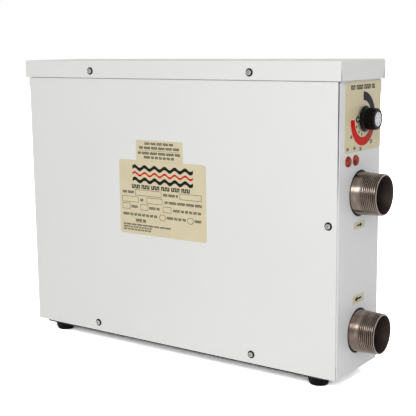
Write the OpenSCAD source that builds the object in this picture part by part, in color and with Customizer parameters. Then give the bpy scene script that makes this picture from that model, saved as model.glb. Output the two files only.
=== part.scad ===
// Flow-through electric pool and spa heater: a painted sheet-steel casing on rubber feet holds a
// U-shaped stainless vessel with two immersion elements. Both pipe connections, the thermostat
// knob and two indicator lamps are on the right end. Front is -Y, up is +Z, floor is z = 0.

/* [Casing] */
// Width of the casing from its left face to its right face
case_w = 460; // [456:1:466]
// Depth of the casing from its front face to its back face
case_d = 102; // [102:0.5:106]
// Height of the casing from its lower edge to the lid's lower edge
case_h = 328.5; // [326:0.5:334]
// Thickness of the sheet steel
sheet = 1.2; // [1:0.1:1.4]
// Outside radius of the bends in the sheet
bend_r = 2.4; // [2:0.1:3]
// Distance of the front screws from the casing's middle
screw_span = 119; // [110:1:125]
// Height of the lower screws above the casing's lower edge
low_screw_h = 10.8; // [10:0.1:13]
// Height of the edge screws above the casing's lower edge
edge_screw_h = 173; // [150:1:200]
// Distance of the edge screws from the right face
edge_screw_in = 11; // [9:0.5:13]

/* [Lid] */
// Height of the lid's skirt
lid_skirt = 21.5; // [19:0.5:24]
// Overhang of the lid past each end
lid_over_end = 3; // [2.5:0.1:4]
// Overhang of the lid past the front and the back
lid_over_side = 1.5; // [1.5:0.1:2]
// Height of the lid screws above the lid's lower edge
lid_screw_h = 8.5; // [7:0.5:11]

/* [Feet] */
// Height of a rubber foot below the casing's lower edge
foot_h = 14.5; // [13:0.5:16]
// Radius of a foot at its top
foot_top_r = 15; // [13:0.5:16]
// Radius of a foot where it meets the floor
foot_low_r = 11; // [10:0.5:12]
// Distance of a foot's middle from the casing's ends
foot_in_x = 32; // [28:1:40]
// Distance of a foot's middle from the front or the back
foot_in_y = 20; // [18:1:24]

/* [Pipes] */
// Outside diameter of the pipe nipples, inch and a half thread
pipe_od = 47.8; // [47.6:0.1:48.4]
// Bore of the pipe nipples
pipe_bore = 42; // [40:0.5:43]
// Length of a nipple outside the end panel
pipe_out = 30; // [29:1:36]
// Length of the plain part of a nipple outside the end panel
pipe_plain = 10.5; // [9:0.5:11]
// Pitch of the pipe thread
thread_pitch = 2.309; // [2.309, 2.209]
// Height of the outlet's middle above the casing's lower edge
outlet_h = 203.5; // [202:0.5:205]
// Height of the inlet's middle above the casing's lower edge
inlet_h = 45.5; // [45:0.5:48]
// Offset of both pipes from the casing's middle, towards the back
pipe_y = 1.5; // [0:0.5:2]
// Diameter of the holes for the pipes in the end panel
pipe_hole_d = 52; // [51.5:0.5:54]

/* [Controls] */
// Offset of the knob from the casing's middle, towards the back
knob_y = 5.3; // [4:0.1:6]
// Height of the knob's middle above the casing's lower edge
knob_h = 285.8; // [284:0.1:287]
// Radius of the knob's skirt
skirt_r = 14.5; // [14:0.1:15]
// Radius of the knob's grip
grip_r = 11.9; // [11:0.1:12.5]
// Height of the lamps above the casing's lower edge
lamp_h = 241.5; // [241:0.1:243]
// Offsets of the two lamps from the casing's middle
lamp_ys = [-29.1, -11.3];
// Radius of a lamp's lens
lamp_r = 6; // [5.5:0.1:6.5]

/* [Plates] */
// Width and height of the dial plate
dial_plate = [86.5, 76];
// Width and height of the rating plate on the front
rating_plate_size = [133, 92.6];
// Width and height of the narrow plate above the rating plate
data_plate_size = [71.5, 24.9];
// Width and height of the label above the inlet
inlet_label = [27, 9.5];
// Width and height of the label below the outlet
outlet_label = [25, 7.5];
// Distance of the rating plate's left edge from the casing's middle
rating_plate_in = 76; // [70:1:80]
// Height of the rating plate's lower edge above the casing's lower edge
rating_plate_h = 136.3; // [130:0.1:140]

/* [Vessel] */
// Outside radius of the two barrels
barrel_r = 35; // [34:0.5:35.5]
// Wall thickness of the barrels
barrel_wall = 2; // [1.5:0.1:2.5]
// Outside radius of the crossover pipe
cross_r = 19; // [16:1:20]
// Radius of an element rod
rod_r = 4; // [3.5:0.1:4.2]

/* [Cable gland] */
// Length of the cable gland outside the casing
gland_out = 28; // [28:0.5:32]
// Radius of the cable that the gland holds
gland_cable_r = 8; // [6:0.5:8]

/* [Hidden] */
$fn = 64;

// Places shared by several pieces
left_x = -(case_w + pipe_out - gland_out) / 2;
right_x = left_x + case_w;
mid_x = (left_x + right_x) / 2;
front_y = -case_d / 2;
back_y = case_d / 2;
base_z = foot_h;
lid_z = base_z + case_h;
top_z = lid_z + lid_skirt;
panel_in_x = right_x - sheet;
wall_in_y = case_d / 2 - sheet;

// Base tray and its lower middle part, the pan, which carries the feet
tray_drop = 2.2;
tray_floor_z = base_z - tray_drop + sheet;
tray_lip_z = base_z + 15;
pan_past_foot = 1;
weep_slots = [-150, 0, 150];

// Seams of the casing: the jacket's top edge steps in under the lid, and its right edge stops
// short of the end panel's face
lid_gap = 0.9;
jacket_step = 1.5;
jacket_edge_in = 1;
shoulder_z = lid_z - lid_gap;
sheets_top_z = top_z - sheet - 0.5;
panel_flange = 18;
panel_gap = 0.8;
panel_bend_r = 1.6;
panel_front_y = -wall_in_y + panel_gap;
panel_top_half = 47.5;

// Fasteners
case_screw_r = 2;
case_screw_hole_r = 2.2;
case_screw_len = 9;
case_head_r = 4.6;
case_head_h = 2.3;
foot_screw_r = 2.5;
foot_screw_hole_r = 2.7;
foot_bore_r = 6.5;
foot_bore_depth = 5.5;
foot_edge_r = 2;

// The lid's corner seams, which open towards its lower edge
lid_slit = 1.7;
lid_slit_h = 15;

// Controls
plate_t = 0.4;
dial_x = right_x + plate_t;
dial_plate_y = [-37.5, 49];
dial_plate_top = lid_z - 1.8;
rating_plate_x = mid_x - rating_plate_in;
rating_plate_z = base_z + rating_plate_h;
data_plate_in = 28;
inlet_label_gap = 33;
outlet_label_gap = 32;
knob_z = base_z + knob_h;
lamp_z = base_z + lamp_h;
hub_r = 6;
hub_gap = 0.6;
skirt_from = 2.6;
grip_from = 4.4;
grip_to = 18;
knob_bore_depth = 13;
flutes = 18;
flute_r = 1.7;
flute_out = 0.95;
cap_r = 8;
cap_t = 1.4;
shaft_r = 3;
shaft_flat = 0.7;
bush_r = 4.5;
bush_hole_r = 5;
thermostat_pitch = 28;
small_screw_r = 2;
small_head_r = 3.6;
small_head_h = 2;
thermostat_plate_t = 1.5;
thermostat_depth = 26;
thermostat_half = 17;
lamp_body_r = 4.9;
lamp_hole_r = 5.1;
lamp_body_len = 24;

// Vessel
inlet_z = base_z + inlet_h;
outlet_z = base_z + outlet_h;
barrel_from = left_x + 60;
barrel_to = right_x - 43;
cone_len = 20;
neck_len = 6;
neck_r = 26;
nipple_inner_r = pipe_od / 2 - 0.4;
flange_r = 45;
flange_t = 6;
gasket_t = 2;
head_t = 8;
bolt_circle_r = 40.7;
bolt_count = 6;
bolt_r = 3;
bolt_hole_r = 3.2;
cross_x = barrel_from + 34;
rod_circle_r = 18;
hairpins = 3;
rod_tip_x = 135;
rod_gap = 0.05;
pocket_xs = [barrel_to - 10, barrel_to - 29];
pocket_r = 4.5;
pocket_bore_r = 3.4;
pocket_boss_r = 8.5;
pocket_low_z = outlet_z - 16;
pocket_head_z = outlet_z + barrel_r + 3;
thread_depth = 1.1;
thread_taper = 1 / 32;

// Earth stud
earth_x = left_x + 40;
earth_y = -20;

// Flow switch
flow_x = barrel_to - 14;
flow_boss_r = 15;
flow_bore_r = 12.2;
flow_boss_z = inlet_z + barrel_r + 15;
flow_pivot_z = inlet_z + barrel_r + 8;
flow_pin_r = 1.5;

// Frames, shelf and electrical gear
frame_xs = [left_x + 126, left_x + 341];
frame_t = 2;
frame_half = 46;
frame_foot = 15;
frame_screw_in = frame_foot / 2 + 1;
frame_top_z = outlet_z + 50;
ring_hole_r = barrel_r + 3.2;
frame_screw_ys = [-30, 30];
frame_screw_r = 2.5;
shelf_x = [left_x + 46, left_x + 373];
shelf_top_z = frame_top_z + sheet;
shelf_lip = 8;
rail_x = [left_x + 100, left_x + 300];
rail_h = 7.5;
rail_top_z = shelf_top_z + rail_h;
block_x = [left_x + 108, left_x + 164];
block_half = 20;
block_h = 34;
block_poles = 5;
contactor_x = [left_x + 176, left_x + 221];
contactor_half = 36;
contactor_h = 58;
carrier_half = [7, 10];
carrier_gap = 0.3;
carrier_travel = 4;
carrier_depth = 14;
carrier_proud = 4.5;
limit_x = left_x + 345;
limit_half = 15;
limit_z = [shelf_top_z + 12, shelf_top_z + 40];
limit_plate_z = limit_z[1] + 1.5;
button_r = 3.2;
button_proud = 7;
button_travel = 2.5;
button_well = 4.5;

// Cable gland on the left end
gland_y = 20;
gland_z = lid_z - 34;
gland_thread_r = 12.5;
gland_hole_r = 12.8;

// Wire routes, from one terminal to the other
wire_r = 1.6;
thin_r = 1;
supply_routes = [for (k = [0:2]) [
    [left_x + 15, gland_y, gland_z - 4 + 4 * k],
    [left_x + 31, gland_y, gland_z - 4 + 4 * k],
    [left_x + 61, gland_y, gland_z - 2 + 4 * k],
    [left_x + 83 + 12 * k, 34, gland_z + 6 + 4 * k],
    [left_x + 114 + 11 * k, 36, gland_z - 4],
    [left_x + 114 + 11 * k, 28, rail_top_z + 26],
    [left_x + 114 + 11 * k, 24, rail_top_z + 26]
]];
control_routes = [
    // a lamp, the thermostat and the limit switch to the contactor's coil
    [[196, -29, lamp_z + 2.2], [186, -29, lamp_z + 2.2], [170, -32, lamp_z + 12], [150, -40, lamp_z + 26],
        [60, -41, shelf_top_z + 12], [10, -41, shelf_top_z + 14], [4, -30, rail_top_z + 12],
        [-6, -20, rail_top_z + 12]],
    [[192, -4, knob_z + 10], [184, -4, knob_z + 10], [176, -10, knob_z + 18], [150, -26, knob_z + 14],
        [80, -34, knob_z + 10], [10, -34, knob_z], [2, -24, rail_top_z + 14], [-6, -16, rail_top_z + 14]]
];
bridge_routes = [for (k = [0:2]) [
    [-117 + 11 * k, -24, rail_top_z + 26],
    [-117 + 11 * k, -30, rail_top_z + 28],
    [-100 + 12 * k, -42, rail_top_z + 37 + 6 * k],
    [-60 + 8 * k, -44, rail_top_z + 37 + 6 * k],
    [-47 + 13 * k, -44, rail_top_z + 30],
    [-47 + 13 * k, -40, rail_top_z + 22],
    [-47 + 13 * k, -37, rail_top_z + 22]
]];

// ---------- Shared shapes ----------

module span(a, b) {
    translate(a) cube(b - a);
}

module x_rod(x0, x1, y, z, r) {
    translate([x0, y, z]) rotate([0, 90, 0]) cylinder(h = x1 - x0, r = r);
}

module y_rod(y0, y1, x, z, r) {
    translate([x, y0, z]) rotate([-90, 0, 0]) cylinder(h = y1 - y0, r = r);
}

module z_rod(z0, z1, x, y, r) {
    translate([x, y, z0]) cylinder(h = z1 - z0, r = r);
}

// A rectangle with round corners, from one corner to the other
module round_rect(x0, x1, y0, y1, r) {
    translate([x0 + r, y0]) square([x1 - x0 - 2 * r, y1 - y0]);
    translate([x0, y0 + r]) square([x1 - x0, y1 - y0 - 2 * r]);
    for (x = [x0 + r, x1 - r], y = [y0 + r, y1 - r]) translate([x, y]) circle(r);
}

module upright(x0, x1, y0, y1, z0, z1, r) {
    translate([0, 0, z0]) linear_extrude(z1 - z0) round_rect(x0, x1, y0, y1, r);
}

// A ring along X
module x_ring(x0, x1, y, z, r_out, r_in) {
    difference() {
        x_rod(x0, x1, y, z, r_out);
        x_rod(x0 - 1, x1 + 1, y, z, r_in);
    }
}

// A cross-recessed pan-head screw: head above z = 0, shank below
module pan_screw(shank_r, length, head_r, head_h) {
    arm = 0.28 * head_r;
    difference() {
        union() {
            cylinder(h = head_h * 0.4, r = head_r);
            translate([0, 0, head_h * 0.4]) cylinder(h = head_h * 0.6, r1 = head_r, r2 = head_r * 0.72);
            translate([0, 0, -length]) cylinder(h = length, r = shank_r);
        }
        for (a = [0, 90]) rotate([0, 0, a])
            translate([-head_r * 0.55, -arm / 2, head_h * 0.45]) cube([head_r * 1.1, arm, head_h]);
    }
}

// A hexagon nut with its lower face at z = 0
module hex_nut(across, height, hole_r) {
    difference() {
        cylinder(h = height, r = across / sqrt(3), $fn = 6);
        translate([0, 0, -1]) cylinder(h = height + 2, r = hole_r);
    }
}

// The same shape at the front and, mirrored, at the back
module front_and_back() {
    children();
    mirror([0, 1, 0]) children();
}

// ---------- Wires ----------

function unit(v) = v / norm(v);
function cut_corners(p) = [
    p[0],
    for (i = [0:len(p) - 2]) each [0.75 * p[i] + 0.25 * p[i + 1], 0.25 * p[i] + 0.75 * p[i + 1]],
    p[len(p) - 1]
];
function tangent(p, i) = unit(p[min(i + 1, len(p) - 1)] - p[max(i - 1, 0)]);
function square_to(n, t) = unit(n - (n * t) * t);
function normals(p, i, n) = i >= len(p) ? [] : let (m = square_to(n, tangent(p, i)))
    concat([m], normals(p, i + 1, m));

// A round wire swept along a route
module wire(route, r) {
    sides = 8;
    p = cut_corners(cut_corners(route));
    n = normals(p, 0, abs(tangent(p, 0)[2]) < 0.8 ? [0, 0, 1] : [0, 1, 0]);
    points = [for (i = [0:len(p) - 1], k = [0:sides - 1])
        let (a = 360 * k / sides, b = cross(tangent(p, i), n[i]))
        p[i] + r * cos(a) * n[i] + r * sin(a) * b];
    last = (len(p) - 1) * sides;
    faces = concat(
        [[for (k = [0:sides - 1]) k]],
        [[for (k = [sides - 1:-1:0]) last + k]],
        [for (i = [0:len(p) - 2], k = [0:sides - 1]) let (a = i * sides, j = (k + 1) % sides)
            [a + k, a + sides + k, a + sides + j, a + j]]
    );
    polyhedron(points, faces, convexity = 10);
}

// ---------- Casing ----------

module base_tray() color("dimgray") {
    x0 = left_x + sheet;
    x1 = panel_in_x;
    pan_low_z = base_z - tray_drop;
    pan_x0 = left_x + foot_in_x - foot_top_r - pan_past_foot;
    pan_x1 = right_x - foot_in_x + foot_top_r + pan_past_foot;
    in_y = wall_in_y - sheet;
    in_r = bend_r - sheet;
    difference() {
        union() {
            upright(x0, x1, -wall_in_y, wall_in_y, base_z, tray_lip_z, bend_r);
            upright(pan_x0, pan_x1, -wall_in_y, wall_in_y, pan_low_z, base_z + sheet / 2, bend_r);
        }
        upright(x0 + sheet, x1 - sheet, -in_y, in_y, base_z + sheet, tray_lip_z + 1, in_r);
        upright(pan_x0 + sheet, pan_x1 - sheet, -in_y, in_y, tray_floor_z, base_z + 2 * sheet, in_r);
        foot_places() z_rod(pan_low_z - 1, tray_floor_z + 1, 0, 0, foot_screw_hole_r);
        for (x = weep_slots) upright(x - 20, x + 20, -4, 4, pan_low_z - 1, tray_floor_z + 1, 3.9);
        front_and_back() low_screw_places() case_screw_hole();
        z_rod(pan_low_z - 1, tray_floor_z + 1, earth_x, earth_y, frame_screw_r + 0.2);
        for (x = frame_xs, y = frame_screw_ys)
            z_rod(pan_low_z - 1, tray_floor_z + 1, x + frame_screw_in, y, frame_screw_r + 0.2);
    }
}

module foot_places() {
    for (x = [left_x + foot_in_x, right_x - foot_in_x], y = [front_y + foot_in_y, back_y - foot_in_y])
        translate([x, y, 0]) children();
}

module low_screw_places() {
    for (s = [-1, 1]) translate([mid_x + s * screw_span, front_y, base_z + low_screw_h]) children();
}

module edge_screw_place() {
    translate([right_x - edge_screw_in, front_y, base_z + edge_screw_h]) children();
}

module lid_screw_places() {
    for (s = [-1, 1])
        translate([mid_x + s * screw_span, front_y - lid_over_side, lid_z + lid_screw_h]) children();
}

// A hole through the front sheets, at the origin, along Y
module case_screw_hole() {
    y_rod(-3, 6, 0, 0, case_screw_hole_r);
}

module end_panel() color("gainsboro") {
    pipe_hole_r = pipe_hole_d / 2;
    flange_from = right_x - panel_flange;
    difference() {
        translate([0, 0, base_z]) linear_extrude(sheets_top_z - base_z) difference() {
            round_rect(right_x - 40, right_x, panel_front_y, wall_in_y, panel_bend_r);
            round_rect(right_x - 60, panel_in_x, panel_front_y + sheet, wall_in_y - sheet,
                panel_bend_r - sheet);
            translate([right_x - 61, front_y]) square([flange_from - right_x + 61, case_d]);
        }
        // the flanges stop above the tray's lip and below the step in the jacket
        span([flange_from - 1, front_y, base_z - 1], [panel_in_x, back_y, tray_lip_z + 0.5]);
        front_and_back() span([flange_from - 1, panel_top_half, shoulder_z - sheet - 0.3],
            [right_x + 1, back_y, top_z]);
        for (z = [inlet_z, outlet_z]) x_rod(panel_in_x - 1, right_x + 1, pipe_y, z, pipe_hole_r);
        for (y = lamp_ys) x_rod(panel_in_x - 1, right_x + 1, y, lamp_z, lamp_hole_r);
        dial_holes() x_rod(panel_in_x - 1, right_x + 1, 0, 0, small_screw_r + 0.15);
        x_rod(panel_in_x - 1, right_x + 1, knob_y, knob_z, bush_hole_r);
        front_and_back() edge_screw_place() case_screw_hole();
    }
}

// The wall of the jacket seen from above, from one distance inside the casing's outline to another
module jacket_wall(from, to) {
    difference() {
        round_rect(left_x + from, right_x + 20, front_y + from, back_y - from, bend_r);
        round_rect(left_x + to, right_x + 40, front_y + to, back_y - to, bend_r - sheet);
        translate([right_x - jacket_edge_in, front_y - 1]) square([60, case_d + 2]);
    }
}

module jacket() color("whitesmoke") {
    step_in = jacket_step + sheet;
    difference() {
        union() {
            translate([0, 0, base_z]) linear_extrude(shoulder_z - base_z) jacket_wall(0, sheet);
            translate([0, 0, shoulder_z - sheet]) linear_extrude(sheet) jacket_wall(0, step_in);
            translate([0, 0, shoulder_z - sheet]) linear_extrude(sheets_top_z - shoulder_z + sheet)
                jacket_wall(jacket_step, step_in);
        }
        front_and_back() {
            low_screw_places() case_screw_hole();
            edge_screw_place() case_screw_hole();
            lid_screw_places() case_screw_hole();
        }
        x_rod(left_x - 1, left_x + sheet + 1, gland_y, gland_z, gland_hole_r);
    }
}

// A rounded ridge shape: the profile of the lid's top, seen along one axis
module lid_profile(half, drop, r) {
    round_rect(-half, half, -drop - 2 * r, 0, r);
}

module lid_solid(inset, r) {
    half_x = case_w / 2 + lid_over_end - inset;
    half_y = case_d / 2 + lid_over_side - inset;
    intersection() {
        translate([mid_x - half_x - 1, 0, top_z - inset]) rotate([90, 0, 90])
            linear_extrude(2 * half_x + 2) lid_profile(half_y, lid_skirt + 4, r);
        translate([mid_x, half_y + 1, top_z - inset]) rotate([90, 0, 0])
            linear_extrude(2 * half_y + 2) lid_profile(half_x, lid_skirt + 4, r);
    }
}

module lid() color("whitesmoke") {
    end_x = case_w / 2 + lid_over_end;
    skirt_in_y = case_d / 2 + lid_over_side - sheet;
    difference() {
        lid_solid(0, bend_r);
        lid_solid(sheet, bend_r - sheet);
        translate([mid_x - end_x - 1, -case_d, lid_z - 20]) cube([2 * end_x + 2, 2 * case_d, 20]);
        // the open seam at each corner, where the end skirt meets the front or the back skirt
        for (s = [-1, 1], t = [-1, 1])
            translate([mid_x + s * end_x - 2 * sheet, t * skirt_in_y, lid_z]) rotate([90, 0, 90])
                linear_extrude(4 * sheet) polygon([[0, -1], [0, lid_slit_h], [-t * lid_slit, -1]]);
        front_and_back() lid_screw_places() case_screw_hole();
    }
}

module case_screw() {
    rotate([90, 0, 0]) pan_screw(case_screw_r, case_screw_len, case_head_r, case_head_h);
}

module lid_screws() color("silver") {
    front_and_back() lid_screw_places() case_screw();
}

module jacket_screws() color("silver") {
    front_and_back() {
        low_screw_places() case_screw();
        edge_screw_place() case_screw();
    }
}

// ---------- Feet ----------

module rubber_feet() color("black") {
    height = foot_h - tray_drop;
    lean = atan((foot_top_r - foot_low_r) / height);
    side = [
        foot_low_r - foot_edge_r + foot_edge_r * cos(lean),
        foot_edge_r - foot_edge_r * sin(lean)
    ];
    top_x = side[0] + (height - side[1]) * tan(lean);
    foot_places() rotate_extrude() difference() {
        union() {
            polygon([[0, 0], [foot_low_r - foot_edge_r, 0], [foot_low_r - foot_edge_r, foot_edge_r],
                side, [top_x, height], [0, height]]);
            translate([foot_low_r - foot_edge_r, foot_edge_r]) circle(foot_edge_r);
        }
        translate([-1, -1]) square([foot_screw_hole_r + 1, height + 2]);
        translate([-1, -1]) square([foot_bore_r + 1, foot_bore_depth + 1]);
    }
}

module foot_screws() color("silver") {
    length = tray_floor_z + 6 - foot_bore_depth;
    foot_places() translate([0, 0, foot_bore_depth]) mirror([0, 0, 1])
        pan_screw(foot_screw_r, length, 5, 2.6);
}

module foot_nuts() color("silver") {
    foot_places() translate([0, 0, tray_floor_z]) hex_nut(8, 4, foot_screw_r + 0.05);
}

// ---------- Plates and labels ----------

// The places of the two screws beside the knob, along the end panel
module dial_holes() {
    for (s = [-1, 1]) translate([0, knob_y + s * thermostat_pitch / 2, knob_z]) children();
}

module dial_plate() color("tan") {
    difference() {
        translate([right_x, 0, dial_plate_top]) rotate([90, 0, 90]) linear_extrude(plate_t)
            round_rect(dial_plate_y[1] - dial_plate[0], dial_plate_y[1], -dial_plate[1], 0, 1.5);
        x_rod(right_x - 1, dial_x + 1, knob_y, knob_z, bush_hole_r);
        dial_holes() x_rod(right_x - 1, dial_x + 1, 0, 0, small_screw_r + 0.15);
    }
}

// A thin plate on the front sheet, given by its left lower corner
module front_plate(x, z, size, r) {
    translate([x, front_y, z]) rotate([90, 0, 0]) linear_extrude(plate_t)
        round_rect(0, size[0], 0, size[1], r);
}

module rating_plate() color("tan") {
    front_plate(rating_plate_x, rating_plate_z, rating_plate_size, 3.5);
}

module data_plate() color("tan") {
    front_plate(rating_plate_x + data_plate_in, rating_plate_z + rating_plate_size[1] + 0.2,
        data_plate_size, 1.5);
}

// A label on the end panel, given by the height of its lower edge
module port_label(size, z) {
    translate([right_x, -size[0] / 2, z]) rotate([90, 0, 90]) linear_extrude(plate_t)
        round_rect(0, size[0], 0, size[1], 1);
}

module port_labels() color("khaki") {
    port_label(inlet_label, inlet_z + inlet_label_gap);
    port_label(outlet_label, outlet_z - outlet_label_gap - outlet_label[1]);
}

// ---------- Knob, thermostat and lamps ----------

// Moves a shape drawn along +Z on to the knob's axis, with its z = 0 on the dial plate
module on_knob_axis() {
    translate([dial_x, knob_y, knob_z]) rotate([0, 90, 0]) children();
}

module temperature_knob() color("black") {
    on_knob_axis() difference() {
        union() {
            translate([0, 0, hub_gap]) cylinder(h = skirt_from - hub_gap, r = hub_r);
            translate([0, 0, skirt_from]) cylinder(h = grip_from - skirt_from, r = skirt_r);
            difference() {
                union() {
                    translate([0, 0, grip_from]) cylinder(h = grip_to - grip_from - 1, r = grip_r);
                    translate([0, 0, grip_to - 1]) cylinder(h = 1, r1 = grip_r, r2 = grip_r - 1);
                }
                for (k = [0:flutes - 1]) rotate([0, 0, 360 * (k + 0.5) / flutes])
                    translate([grip_r + flute_out, 0, grip_from])
                        cylinder(h = grip_to - grip_from - 1.6, r = flute_r);
            }
        }
        translate([0, 0, grip_to - cap_t + 0.3]) cylinder(h = cap_t, r = cap_r + 0.1);
        translate([0, 0, -1]) cylinder(h = knob_bore_depth + 1, r = shaft_r + 0.05);
        translate([0, 0, 9]) rotate([90, 0, 0]) cylinder(h = skirt_r, r = 2.05);
        // the pointer's notch in the rim
        translate([-0.5, cap_r + 0.8, grip_to - 0.7]) cube([1, grip_r, 2]);
    }
}

module knob_cap() color("silver") {
    on_knob_axis() translate([0, 0, grip_to - cap_t + 0.3]) difference() {
        union() {
            cylinder(h = cap_t - 0.4, r = cap_r);
            translate([0, 0, cap_t - 0.4]) cylinder(h = 0.4, r1 = cap_r, r2 = cap_r - 0.4);
        }
        for (r = [2.6, 5.2]) difference() {
            translate([0, 0, cap_t - 0.2]) cylinder(h = 1, r = r + 0.3);
            translate([0, 0, cap_t - 1]) cylinder(h = 3, r = r - 0.3);
        }
    }
}

module knob_grub_screw() color("dimgray") {
    length = 6;
    tip_y = -(shaft_r - shaft_flat) - 0.05;
    on_knob_axis() translate([0, tip_y - length, 9]) rotate([-90, 0, 0]) difference() {
        cylinder(h = length, r = 2);
        translate([0, 0, -1]) cylinder(h = 3, r = 1.1, $fn = 6);
    }
}

module thermostat_shaft() color("silver") {
    on_knob_axis() difference() {
        translate([0, 0, -12]) cylinder(h = knob_bore_depth - 0.5 + 12, r = shaft_r);
        translate([-shaft_r, -shaft_r - 1, 2]) cube([2 * shaft_r, 1 + shaft_flat, knob_bore_depth]);
    }
}

module thermostat_body() color("gainsboro") {
    plate_x = panel_in_x - thermostat_plate_t;
    difference() {
        union() {
            span([plate_x, knob_y - 20, knob_z - 9], [panel_in_x, knob_y + 20, knob_z + 9]);
            span([plate_x - thermostat_depth, knob_y - thermostat_half, knob_z - thermostat_half],
                [plate_x, knob_y + thermostat_half, knob_z + thermostat_half]);
            x_rod(panel_in_x, right_x, knob_y, knob_z, bush_r);
            for (y = [-9, 0, 9])
                span([plate_x - thermostat_depth - 8, knob_y + y - 3, knob_z + 9.6],
                    [plate_x - thermostat_depth, knob_y + y + 3, knob_z + 10.4]);
        }
        x_rod(dial_x - 12.5, right_x + 1, knob_y, knob_z, shaft_r + 0.05);
        dial_holes() x_rod(plate_x - 8, panel_in_x + 1, 0, 0, small_screw_r + 0.05);
    }
}

module thermostat_screws() color("silver") {
    dial_holes() translate([dial_x, 0, 0]) rotate([0, 90, 0])
        pan_screw(small_screw_r, 7, small_head_r, small_head_h);
}

module lamp_lenses() color("firebrick") {
    dome_h = 2.4;
    rim_h = 1.4;
    dome_r = lamp_r - 0.4;
    ball_r = (dome_r * dome_r + dome_h * dome_h) / (2 * dome_h);
    for (y = lamp_ys) translate([right_x, y, lamp_z]) rotate([0, 90, 0]) {
        cylinder(h = rim_h, r = lamp_r);
        intersection() {
            translate([0, 0, rim_h + dome_h - ball_r]) sphere(ball_r);
            cylinder(h = 2 * dome_h + rim_h, r = dome_r);
        }
    }
}

module lamp_bodies() color("black") {
    for (y = lamp_ys) {
        x_rod(right_x - lamp_body_len, right_x, y, lamp_z, lamp_body_r);
        for (s = [-1, 1]) span([right_x - lamp_body_len - 7, y - 2.4, lamp_z + 2.2 * s - 0.4],
            [right_x - lamp_body_len, y + 2.4, lamp_z + 2.2 * s + 0.4]);
    }
}

module lamp_clips() color("silver") {
    for (y = lamp_ys) x_ring(panel_in_x - 2, panel_in_x, y, lamp_z, lamp_body_r + 2.6, lamp_body_r + 0.1);
}

// ---------- Vessel ----------

module pipe_seals() color("black") {
    for (z = [inlet_z, outlet_z]) x_ring(panel_in_x - 4, panel_in_x, pipe_y, z, 30, nipple_inner_r + 0.05);
}

// One nipple along +X, with its threaded end outside the end panel
module nipple(z) {
    bore_r = pipe_bore / 2;
    start = barrel_to + cone_len + 1;
    step = right_x - 1;
    thread_start = right_x + pipe_plain;
    tip = right_x + pipe_out;
    out_r = pipe_od / 2;
    turns = floor((tip - thread_start - 0.6) / thread_pitch);
    teeth = [for (k = [0:turns - 1]) let (x = thread_start + 0.6 + k * thread_pitch)
        each [[out_r - k * thread_pitch * thread_taper, x],
            [out_r - thread_depth - k * thread_pitch * thread_taper, x + thread_pitch / 2]]];
    tip_r = out_r - turns * thread_pitch * thread_taper;
    outline = concat(
        [[bore_r, start], [nipple_inner_r, start], [nipple_inner_r, step], [out_r, step]],
        teeth,
        [[tip_r, thread_start + 0.6 + turns * thread_pitch], [tip_r - 0.3, tip], [bore_r + 0.6, tip],
            [bore_r, tip - 0.6]]
    );
    translate([0, pipe_y, z]) rotate([0, 90, 0]) rotate_extrude() polygon(outline);
}

module inlet_nipple() color("rosybrown") nipple(inlet_z);

module outlet_nipple() color("rosybrown") nipple(outlet_z);

// A barrel along X: flange ring at the left, cone and neck at the right
module barrel_shell(z) {
    in_r = barrel_r - barrel_wall;
    cone_end = barrel_to + cone_len;
    neck_in_r = nipple_inner_r + 0.05;
    translate([0, pipe_y, z]) rotate([0, 90, 0]) rotate_extrude() polygon([
        [in_r, barrel_from], [flange_r, barrel_from], [flange_r, barrel_from + flange_t],
        [barrel_r, barrel_from + flange_t], [barrel_r, barrel_to], [neck_r, cone_end],
        [neck_r, cone_end + neck_len], [neck_in_r, cone_end + neck_len], [neck_in_r, cone_end],
        [in_r, barrel_to]
    ]);
}

module bolt_places(z) {
    for (k = [0:bolt_count - 1]) {
        a = 360 * k / bolt_count;
        translate([0, pipe_y + bolt_circle_r * cos(a), z + bolt_circle_r * sin(a)]) children();
    }
}

module bolt_holes(z) {
    from = barrel_from - gasket_t - head_t - 1;
    bolt_places(z) x_rod(from, barrel_from + flange_t + 1, 0, 0, bolt_hole_r);
}

module lower_barrel() color("silver") {
    difference() {
        union() {
            barrel_shell(inlet_z);
            difference() {
                z_rod(inlet_z + barrel_r - 6, flow_boss_z, flow_x, pipe_y, flow_boss_r);
                x_rod(barrel_from, barrel_to, pipe_y, inlet_z, barrel_r - barrel_wall / 2);
            }
        }
        z_rod(inlet_z, flow_boss_z + 1, flow_x, pipe_y, flow_bore_r);
        z_rod(inlet_z, inlet_z + barrel_r + 5, cross_x, pipe_y, cross_r - barrel_wall);
        bolt_holes(inlet_z);
    }
}

module upper_barrel() color("silver") {
    difference() {
        union() {
            barrel_shell(outlet_z);
            difference() {
                for (x = pocket_xs) z_rod(outlet_z + barrel_r - 5, pocket_head_z, x, pipe_y, pocket_boss_r);
                x_rod(barrel_from, barrel_to, pipe_y, outlet_z, barrel_r - barrel_wall / 2);
            }
        }
        for (x = pocket_xs) z_rod(outlet_z, pocket_head_z + 1, x, pipe_y, pocket_r + 0.1);
        z_rod(outlet_z - barrel_r - 5, outlet_z, cross_x, pipe_y, cross_r - barrel_wall);
        bolt_holes(outlet_z);
    }
}

module crossover_pipe() color("silver") {
    weld_gap = 0.05;
    difference() {
        z_rod(inlet_z, outlet_z, cross_x, pipe_y, cross_r);
        z_rod(inlet_z - 1, outlet_z + 1, cross_x, pipe_y, cross_r - barrel_wall);
        for (z = [inlet_z, outlet_z])
            x_rod(barrel_from, barrel_to, pipe_y, z, barrel_r + weld_gap);
    }
}

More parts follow.
